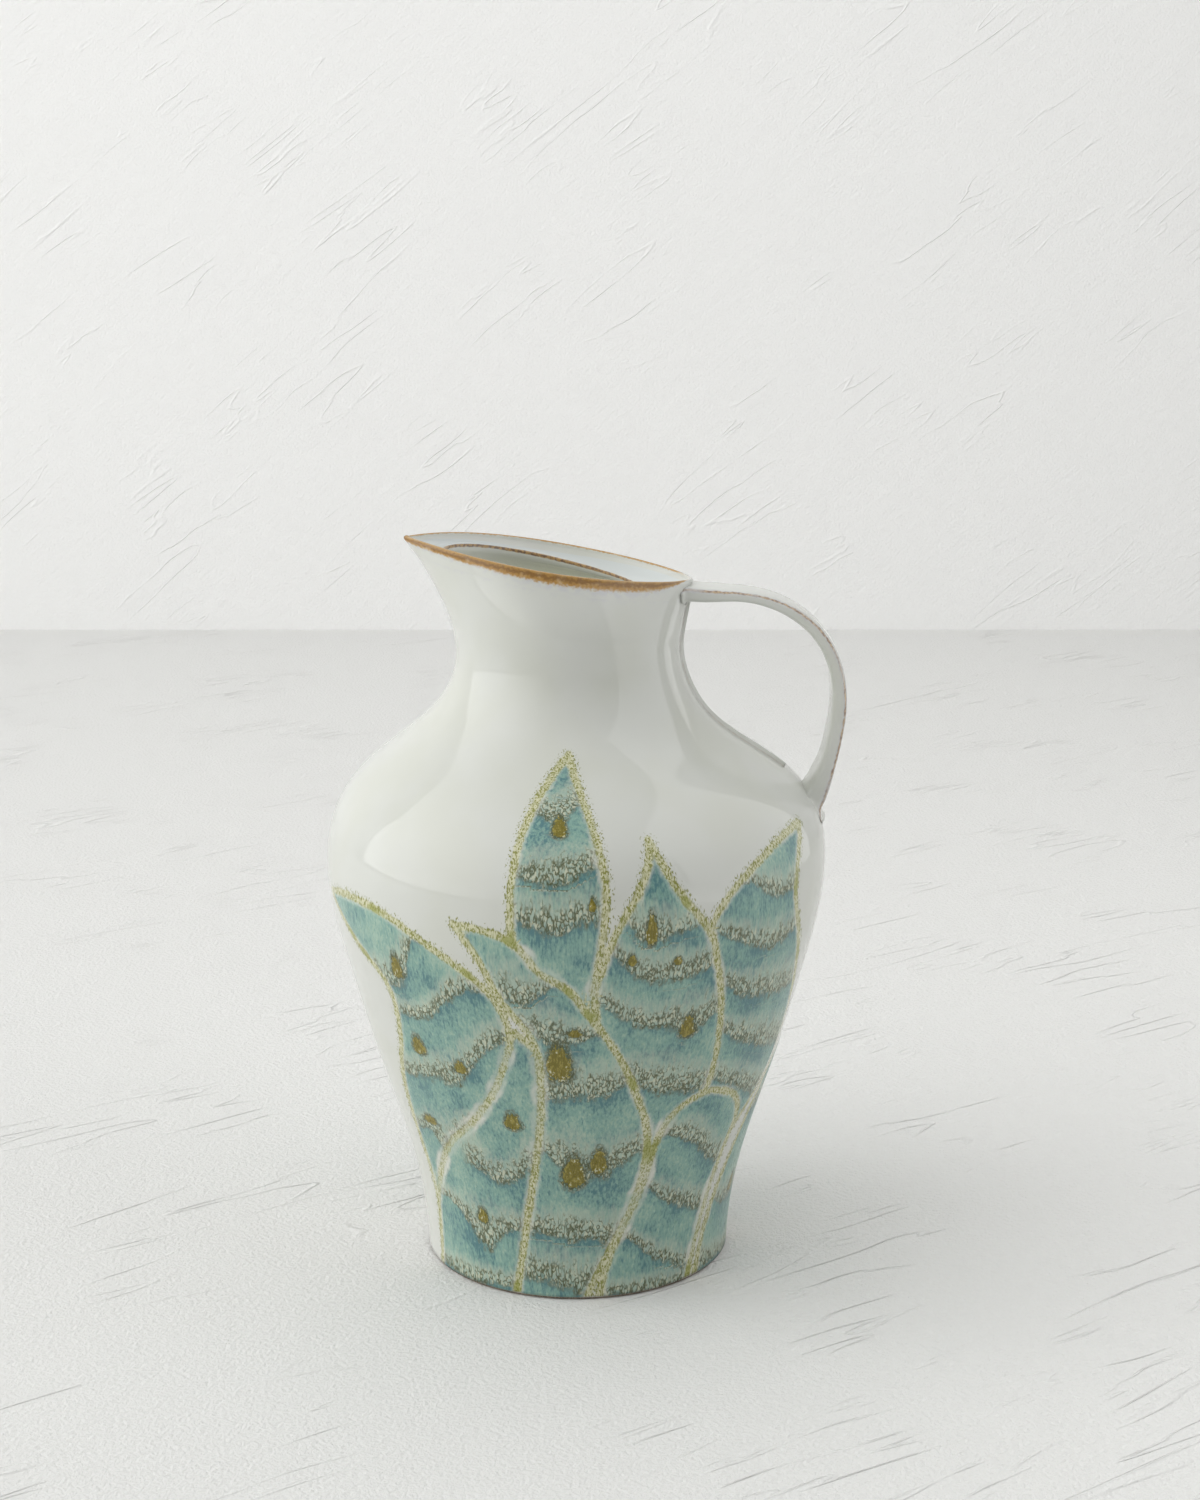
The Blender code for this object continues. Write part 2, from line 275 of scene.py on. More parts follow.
def ledge_dip(share):
    """How far the ledge sags, at a share of its way from the lip to the opening."""
    return LEDGE_DIP * np.sin(math.pi * share) * (1 - 0.4 * share)


def unit_normals(along, up):
    normals = np.cross(along, up)
    return normals / np.linalg.norm(normals, axis=2, keepdims=True)


def travelled_mm(rings):
    """Distance along each column from the first ring, in millimetres."""
    lengths = np.linalg.norm(np.diff(rings, axis=0), axis=2) / MM
    return np.concatenate([np.zeros((1, rings.shape[1])), np.cumsum(lengths, axis=0)])


# ---------------------------------------------------------------- meshes
def new_piece(name, vertices, faces, material, values=None):
    """A smooth piece from vertex places, faces and named numbers kept at the vertices."""
    mesh = bpy.data.meshes.new(name)
    mesh.from_pydata(np.asarray(vertices).reshape(-1, 3).tolist(), [], faces)
    for label, numbers in (values or {}).items():
        layer = mesh.attributes.new(label, "FLOAT", "POINT")
        layer.data.foreach_set("value", np.asarray(numbers, np.float32).ravel())
    mesh.materials.append(material)
    mesh.shade_smooth()
    piece = bpy.data.objects.new(name, mesh)
    bpy.context.scene.collection.objects.link(piece)
    return piece


def finish_piece(piece, slot, *nodes):
    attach(piece, "root")
    if nodes:
        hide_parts(*nodes)
    return piece


def ring_faces(rows, columns):
    """Quads between closed rings stacked in order."""
    faces = []
    for i in range(rows - 1):
        for j in range(columns):
            k = (j + 1) % columns
            low, high = i * columns, (i + 1) * columns
            faces.append((low + j, low + k, high + k, high + j))
    return faces


def tube_faces(rows, columns):
    """Quads between closed rings stacked in order, and a cap at each end."""
    last = (rows - 1) * columns
    caps = [tuple(range(columns))[::-1], tuple(range(last, last + columns))]
    return ring_faces(rows, columns) + caps


# ---------------------------------------------------------------- shader writing
class Value:
    """A shader socket that takes part in expressions: each operator adds a Math node."""

    def __init__(self, tree, socket):
        self.tree = tree
        self.socket = socket

    def math(self, operation, *others):
        inputs = dict(enumerate([self, *others]))
        return self.tree.add("ShaderNodeMath", {"operation": operation}, inputs)

    def __add__(self, other):
        return self.math("ADD", other)

    def __sub__(self, other):
        return self.math("SUBTRACT", other)

    def __rsub__(self, other):
        return self.tree.add("ShaderNodeMath", {"operation": "SUBTRACT"}, {0: other, 1: self})

    def __mul__(self, other):
        return self.math("MULTIPLY", other)

    def __truediv__(self, other):
        return self.math("DIVIDE", other)

    def __pow__(self, other):
        return self.math("POWER", other)

    def __abs__(self):
        return self.math("ABSOLUTE")

    __radd__ = __add__
    __rmul__ = __mul__

    def above(self, low, high):
        """0 below low, 1 above high, and smooth between them."""
        inputs = {"Value": self, "From Min": low, "From Max": high}
        settings = {"interpolation_type": "SMOOTHSTEP"}
        return self.tree.add("ShaderNodeMapRange", settings, inputs)

    def below(self, low, high):
        """1 below low, 0 above high, and smooth between them."""
        return 1 - self.above(low, high)

    def near(self, centre, width):
        """1 at centre, falling to 0 at width either side."""
        return abs(self - centre).below(0.0, width)

    def smaller(self, other):
        return self.math("MINIMUM", other)

    def larger(self, other):
        return self.math("MAXIMUM", other)


class Tree:
    """Adds nodes to a node tree: a type, its settings first, then its sockets."""

    def __init__(self, tree):
        self.tree = tree

    def add(self, kind, settings=None, inputs=None, output=0):
        node = self.tree.nodes.new(kind)
        for label, setting in (settings or {}).items():
            if label == "stops":
                self.set_stops(node.color_ramp, setting)
            else:
                setattr(node, label, setting)
        for label, value in (inputs or {}).items():
            self.feed(node.inputs[label], value)
        return Value(self, node.outputs[output]) if node.outputs else None

    def feed(self, socket, value):
        if isinstance(value, Value):
            self.tree.links.new(value.socket, socket)
        else:
            socket.default_value = value

    def set_stops(self, ramp, stops):
        while len(ramp.elements) < len(stops):
            ramp.elements.new(1.0)
        for element, (place, colour) in zip(ramp.elements, stops):
            element.position = place
            element.color = (*colour, 1.0)

    def attribute(self, label):
        return self.add("ShaderNodeAttribute", {"attribute_name": label}, output="Fac")

    def attributes(self, labels):
        return [self.attribute(label) for label in labels.split()]

    def place(self, stretch=(1.0, 1.0, 1.0)):
        """The point on the object in millimetres, stretched along its axes."""
        spot = self.add("ShaderNodeTexCoord", output="Object")
        scale = tuple(part / MM for part in stretch)
        return self.add("ShaderNodeVectorMath", {"operation": "MULTIPLY"}, {0: spot, 1: scale})

    def noise(self, spot, size, detail=2.0, roughness=0.5, twist=0.0):
        """Fractal noise with features of a size in the units of spot, about 0.5 on average."""
        inputs = {"Vector": spot, "Scale": 1.0 / size, "Detail": detail}
        inputs.update({"Roughness": roughness, "Distortion": twist})
        return self.add("ShaderNodeTexNoise", {}, inputs, "Fac")

    def mix(self, factor, first, second, blend="MIX"):
        settings = {"data_type": "RGBA", "blend_type": blend}
        inputs = {0: factor, 6: self.colour(first), 7: self.colour(second)}
        return self.add("ShaderNodeMix", settings, inputs, 2)

    def colour(self, value):
        return value if isinstance(value, Value) else (*value, 1.0)

    def bump(self, height, distance, normal=None):
        inputs = {"Height": height, "Distance": distance, "Strength": 1.0}
        if normal:
            inputs["Normal"] = normal
        return self.add("ShaderNodeBump", {}, inputs)


def new_material(name):
    """A material with an empty tree, and the Tree that writes it."""
    material = bpy.data.materials.new(name)
    material.use_nodes = True
    material.node_tree.nodes.clear()
    return material, Tree(material.node_tree)


def close_material(tree, colour, roughness, normal, **constants):
    inputs = {"Base Color": tree.colour(colour), "Roughness": roughness, "Normal": normal}
    inputs.update({"IOR": 1.5, **constants})
    shader = tree.add("ShaderNodeBsdfPrincipled", {}, inputs, "BSDF")
    tree.add("ShaderNodeOutputMaterial", {}, {"Surface": shader})


# ---------------------------------------------------------------- glaze colours
BODY_WHITE = (0.580, 0.592, 0.557)
BODY_THIN = (0.545, 0.557, 0.495)
BODY_POOLED = (0.560, 0.600, 0.605)
LAVENDER = (0.470, 0.465, 0.530)
# The inside glaze's own cream tint, made much brighter than the outer white as painted light falling into
# the neck.
INSIDE_PAINTED_LIGHT = (0.840, 0.850, 0.720)
LEAF_TEAL = (0.195, 0.338, 0.292)
LEAF_DEEP = (0.075, 0.180, 0.195)
LEAF_PALE = (0.300, 0.430, 0.350)
HALO = (0.590, 0.600, 0.530)
VEIL = (0.440, 0.490, 0.400)
LINE_CREAM = (0.570, 0.560, 0.370)
LINE_OLIVE = (0.205, 0.215, 0.040)
THICK_OLIVE = (0.270, 0.285, 0.040)
OCHRE = (0.155, 0.130, 0.012)
OCHRE_LIGHT = (0.270, 0.230, 0.045)
SPECK_DARK = (0.066, 0.076, 0.026)
SPECK_CREAM = (0.520, 0.535, 0.400)
# Painted shadow under the speckled bands, and the dark rim of the drips.
BAND_SHADOW_AND_DRIP_RIM = (0.110, 0.165, 0.140)
IRON = (0.390, 0.222, 0.062)
# Pale iron in random patches, also used as the painted highlight along the lip's crest.
IRON_PALE_AND_HIGHLIGHT = (0.470, 0.330, 0.170)
IRON_DARK = (0.150, 0.070, 0.022)
CLAY = (0.300, 0.250, 0.190)
CLAY_DARK = (0.100, 0.080, 0.060)
CLAY_SMOKED = (0.250, 0.210, 0.160)


def white_glaze(tree, spot):
    """Colour, roughness and relief of the plain body glaze at a spot in millimetres."""
    cloud = tree.noise(spot, 42.0, 2.0).above(0.38, 0.66)
    colour = tree.mix(cloud * 0.55, BODY_WHITE, BODY_THIN)
    fine = tree.noise(spot, 1.6, 3.0).above(0.60, 0.78)
    colour = tree.mix(fine * 0.10, colour, LAVENDER)
    roughness = 0.035 + 0.04 * tree.noise(spot, 9.0)
    relief = 0.04 * tree.noise(spot, 22.0, 1.0) + 0.003 * tree.noise(spot, 3.5, 1.0)
    return colour, roughness, relief


def body_material():
    material, tree = new_material("white_body_glaze")
    spot = tree.place()
    colour, roughness, relief = white_glaze(tree, spot)
    arris, depth, bare, drop = tree.attributes("arris depth bare drop")
    ragged = tree.noise(spot, 2.2, 3.0) - 0.5
    pooled = (arris + ragged * 3.0).above(0.6, 3.5) * arris.below(30.0, 40.0)
    colour = tree.mix(pooled * 0.75, colour, BODY_POOLED)
    halo = (drop + ragged * 5.0).near(6.0, 4.5) * tree.noise(spot, 5.0).above(0.40, 0.70)
    colour = tree.mix(halo * 0.35, colour, LAVENDER)
    # Painted light: deeper inside the neck the glaze turns a much brighter cream, standing in for light
    # falling in through the opening.
    colour = tree.mix(depth.above(0.0, 25.0) * 0.85, colour, INSIDE_PAINTED_LIGHT)
    iron = (abs(arris) + ragged).below(1.05, 1.75)
    rust = tree.mix(tree.noise(spot, 1.4).above(0.4, 0.6), IRON, IRON_DARK)
    colour = tree.mix(iron * 0.9, colour, rust)
    colour = tree.mix(bare, colour, tree.mix(tree.noise(spot, 3.0, 4.0), CLAY, CLAY_DARK))
    roughness = roughness + bare * 0.6
    normal = tree.bump(relief, MM)
    close_material(tree, colour, roughness, normal)
    return material


def leaf_material():
    """Painted leaves: mottled teal glaze, speckled bands, cream lines with olive grains."""
    material, tree = new_material("leaf_glaze")
    spot = tree.place()
    tall = tree.place((1.0, 1.0, 0.45))
    streak = tree.place((1.0, 1.0, 0.10))
    white, white_rough, white_relief = white_glaze(tree, spot)
    labels = "edge line band gate deep drip olive wash"
    edge, line, band, gate, deep, drip, olive, wash = tree.attributes(labels)

    grain = tree.noise(tall, 1.1, 2.0, 0.6)
    fleck = tree.noise(tall, 0.75, 1.0, 0.5)
    blot = tree.noise(spot, 5.0, 2.0)
    cloud = tree.noise(spot, 16.0, 2.0)
    run = tree.noise(streak, 1.0, 3.0, 0.6)
    ragged = (tree.noise(spot, 2.6, 3.0, 0.65) - 0.5) * 2
    fringe = (tree.noise(streak, 1.7, 2.0, 0.6) - 0.5) * 2
    net = tree.noise(tall, 1.8, 1.5, 0.6).near(0.5, 0.115)

    tone = 0.33 + deep * 0.48 + (cloud - 0.5) * 1.8 + (run - 0.5) * 1.9 + (grain - 0.5) * 1.7
    fill = tree.mix(tone.above(-0.15, 0.42), LEAF_PALE, LEAF_TEAL)
    fill = tree.mix(tone.above(0.35, 1.10), fill, LEAF_DEEP)

    drop = drip + ragged * 0.38 + fringe * 0.14
    trail = drop.above(-0.30, 0.05)
    rise = band + ragged * 0.22 + fringe * 0.20 + (blot - 0.5) * 0.6
    veil = rise.above(-0.05, 0.30) * (rise + fringe * 0.75).below(0.75, 1.80) * gate
    cover = rise.above(-0.10, 0.10) * (rise + fringe * 0.45).below(0.55, 1.05) * gate
    cover = cover.larger(trail)
    # Painted shadow: a dark line along the lower edge of each band. The same dark colour also rims each
    # drip.
    shade = (rise + fringe * 0.10).near(0.02, 0.22) * gate
    fill = tree.mix(veil * 0.56, fill, VEIL)
    fill = tree.mix(shade.larger(drop.near(-0.10, 0.25)) * 0.72, fill, BAND_SHADOW_AND_DRIP_RIM)
    fill = tree.mix(grain.above(0.48, 0.58) * cover * 0.85, fill, SPECK_CREAM)
    fill = tree.mix(net * cover * 0.92, fill, SPECK_DARK)
    ochre = tree.mix(grain.above(0.48, 0.62), OCHRE, OCHRE_LIGHT)
    ochre = tree.mix((grain + (blot - 0.5) * 0.5).above(0.66, 0.72), ochre, SPECK_CREAM)
    bead = drop + (grain - 0.5) * 0.70
    fill = tree.mix(bead.near(0.10, 0.16) * 0.9, fill, SPECK_DARK)
    fill = tree.mix(bead.above(0.14, 0.22), fill, ochre)

    halo = (edge + ragged * 1.1 + fringe * 0.7 - wash * 2.4).below(0.9, 3.8)
    fill = tree.mix(halo * (0.35 + cloud.above(0.40, 0.58) * 0.55), fill, HALO)
    width = 1.45 + olive * 0.4 + (blot - 0.5) * 1.6
    rough_edge = ragged * 0.8 + fringe * 0.5
    stroke = (abs(line) + rough_edge - width).below(-0.5, 0.9) * abs(edge).below(3.0, 4.5)
    worn = 1 - wash * 0.45
    rims = 0.40 + (abs(line) + ragged * 0.5).above(0.5, 1.5) * 0.55
    cream = tree.mix(net.larger(fleck.below(0.40, 0.46)) * rims, LINE_CREAM, LINE_OLIVE)
    pool = (olive + ragged * 0.45 - abs(line) * 0.16).above(0.42, 0.80)
    cream = tree.mix(pool * 0.85, cream, THICK_OLIVE)
    inner = (edge + ragged * 0.5).above(-1.2, 0.2)
    painted = tree.mix(inner, white, fill)
    painted = tree.mix(stroke * worn * 0.90, painted, cream)
    spikes = (fleck - edge.smaller(0.0) * 0.022).below(0.43, 0.48) * edge.above(-4.2, -3.0)
    colour = tree.mix(spikes * edge.below(0.5, 2.5) * 0.85 * worn, painted, LINE_OLIVE)

    satin = inner * edge.above(0.5, 3.0)
    roughness = white_rough + satin * (0.24 + (run - 0.5) * 0.25)
    relief = white_relief + satin * (0.05 * run + 0.035 * grain) + cover * 0.05 * grain
    normal = tree.bump(relief, MM)
    close_material(tree, colour, roughness, normal)
    return material


def rim_material():
    """Iron-brown glaze on the rim, broken and fading into the white below it."""
    material, tree = new_material("iron_rim_glaze")
    spot = tree.place()
    white, roughness, relief = white_glaze(tree, spot)
    drop, reach = tree.attributes("drop reach")
    ragged = tree.noise(spot, 1.5, 4.0, 0.65) - 0.5
    blot = tree.noise(spot, 6.0, 2.0)
    inside = drop.below(-0.2, 0.2)
    level = drop / reach + ragged * 0.75
    brown = level.below(0.75, 1.12) * (1 - inside) + inside * (drop + ragged * 1.5).above(-1.4, -0.6)
    iron = tree.mix(blot.above(0.48, 0.72), IRON, IRON_PALE_AND_HIGHLIGHT)
    iron = tree.mix((level + blot * 0.4).near(0.62, 0.35) * 0.7, iron, IRON_DARK)
    # Painted highlight: a paler line of iron along the crest of the lip.
    iron = tree.mix(drop.near(0.2, 0.9) * 0.65, iron, IRON_PALE_AND_HIGHLIGHT)
    halo = level.near(1.15, 0.55) * tree.noise(spot, 3.0).above(0.35, 0.65)
    colour = tree.mix(halo * 0.5, white, LAVENDER)
    colour = tree.mix(brown * reach.above(0.3, 1.2), colour, iron)
    roughness = roughness + brown * 0.12
    normal = tree.bump(relief + brown * 0.03 * tree.noise(spot, 1.2, 2.0), MM)
    close_material(tree, colour, roughness, normal)
    return material


def strap_material(name, label, strength):
    """White glaze that breaks brown along the arrises marked by a named number."""
    material, tree = new_material(name)
    spot = tree.place()
    colour, roughness, relief = white_glaze(tree, spot)
    arris = tree.attribute(label)
    ragged = tree.noise(spot, 2.2, 4.0, 0.65) - 0.5
    patch = tree.noise(spot, 18.0, 2.0).above(0.36, 0.52)
    brown = (arris + ragged * 1.2).above(0.55, 0.95) * (0.35 + patch * 0.65)
    iron = tree.mix(tree.noise(spot, 1.2).above(0.35, 0.65), IRON_DARK, IRON_PALE_AND_HIGHLIGHT)
    colour = tree.mix((arris + ragged).above(0.1, 0.8) * 0.45 * strength, colour, LAVENDER)
    colour = tree.mix(brown * 0.80 * strength, colour, iron)
    close_material(tree, colour, roughness, tree.bump(relief, MM))
    return material


def clay_material():
    material, tree = new_material("bare_clay")
    spot = tree.place()
    grit = tree.noise(spot, 0.9, 4.0, 0.7)
    colour = tree.mix(grit.above(0.35, 0.70), CLAY_DARK, CLAY)
    colour = tree.mix(tree.noise(spot, 9.0, 2.0).above(0.45, 0.65) * 0.5, colour, CLAY_SMOKED)
    close_material(tree, colour, 0.75 + 0.15 * grit, tree.bump(grit * 0.12, MM))
    return material


# ---------------------------------------------------------------- body
def body_rings(turns):
    """Rings from the middle of the underside, up the wall, over the lip and down inside."""
    outer = wall_columns(turns, OUTER_LEVELS)
    base = [(BODY_BASE, 0.001), (BODY_BASE, FOOT_RADIUS - 0.003), (GLAZE_FOOT[0], FOOT_RADIUS - 0.002)]
    under = [round_ring(z, radius, turns) for z, radius in base]
    quarters = (0.25, 0.5, 0.75, 1.0, 1.33, 1.67, 2.0)
    lip = [lip_ring(rim_ring(turns), math.pi / 2 * share) for share in quarters]
    edge = opening_ring(turns)
    ledge = []
    for share in np.linspace(0.0, 1.0, 12)[1:]:
        ring = lip[-1] + (edge - lip[-1]) * share
        ring[:, 2] -= ledge_dip(share)
        ledge.append(ring)
    guides = [edge, inward(edge, -OPENING_EDGE * 0.25, OPENING_EDGE)]
    guides += [inward(flare_ring(t, turns), WALL, 0.0) for t in (0.72, 0.45, 0.20)]
    guides += [round_ring(z, radius - WALL, turns) for z, radius in reversed(OUTLINE[2:])]
    guides.append(round_ring(FLOOR_Z + 0.004, OUTLINE[0][1] - WALL, turns))
    guides = np.array(guides)
    knots = knots_along(guides)
    inside = spline_at(knots, guides, np.linspace(0.0, knots[-1], 70))[1:]
    floor_centre = np.array([AXIS_X, 0.0, FLOOR_Z])
    floor = []
    for share, lift in ((0.97, 0.0022), (0.90, 0.0007), (0.75, 0.0), (0.4, 0.0), (0.02, 0.0)):
        ring = floor_centre + (inside[-1] - floor_centre) * share
        ring[:, 2] = FLOOR_Z + lift
        floor.append(ring)
    return under, outer, lip, ledge, inside, floor


def make_body():
    turns = np.linspace(0.0, math.tau, COLUMNS, endpoint=False)
    under, outer, lip, ledge, inside, floor = body_rings(turns)
    rings = np.array([*under, *outer, *lip, *ledge, *inside, *floor])
    count = len(rings)
    edge_row = len(under) + len(outer) + len(lip) + len(ledge) - 1
    row = np.arange(count)[:, None]
    travelled = travelled_mm(rings)
    arris = travelled[edge_row] - travelled
    drop = (rim_height(turns) - rings[..., 2]) / MM
    depth = np.where(row > edge_row, -arris, -1.0)
    bare = np.where(row < len(under), 1.0, 0.0) * np.ones((1, COLUMNS))
    drop = np.where(row < len(under) + len(outer), drop, -5.0)
    arris = np.where(row < len(under) + len(outer), 60.0, arris)
    values = {"arris": arris, "depth": depth, "bare": bare, "drop": drop}
    return new_piece("body", rings, tube_faces(count, COLUMNS), body_material(), values)


# ---------------------------------------------------------------- leaves
class Leaf:
    """A painted leaf: its two sides from tip to foot, its speckled bands and its drips."""

    def __init__(self, left, right, bands, drips=(), pools=(), washes=()):
        self.left = left
        self.right = right
        self.bands = bands
        self.drips = drips
        self.pools = pools
        self.washes = washes


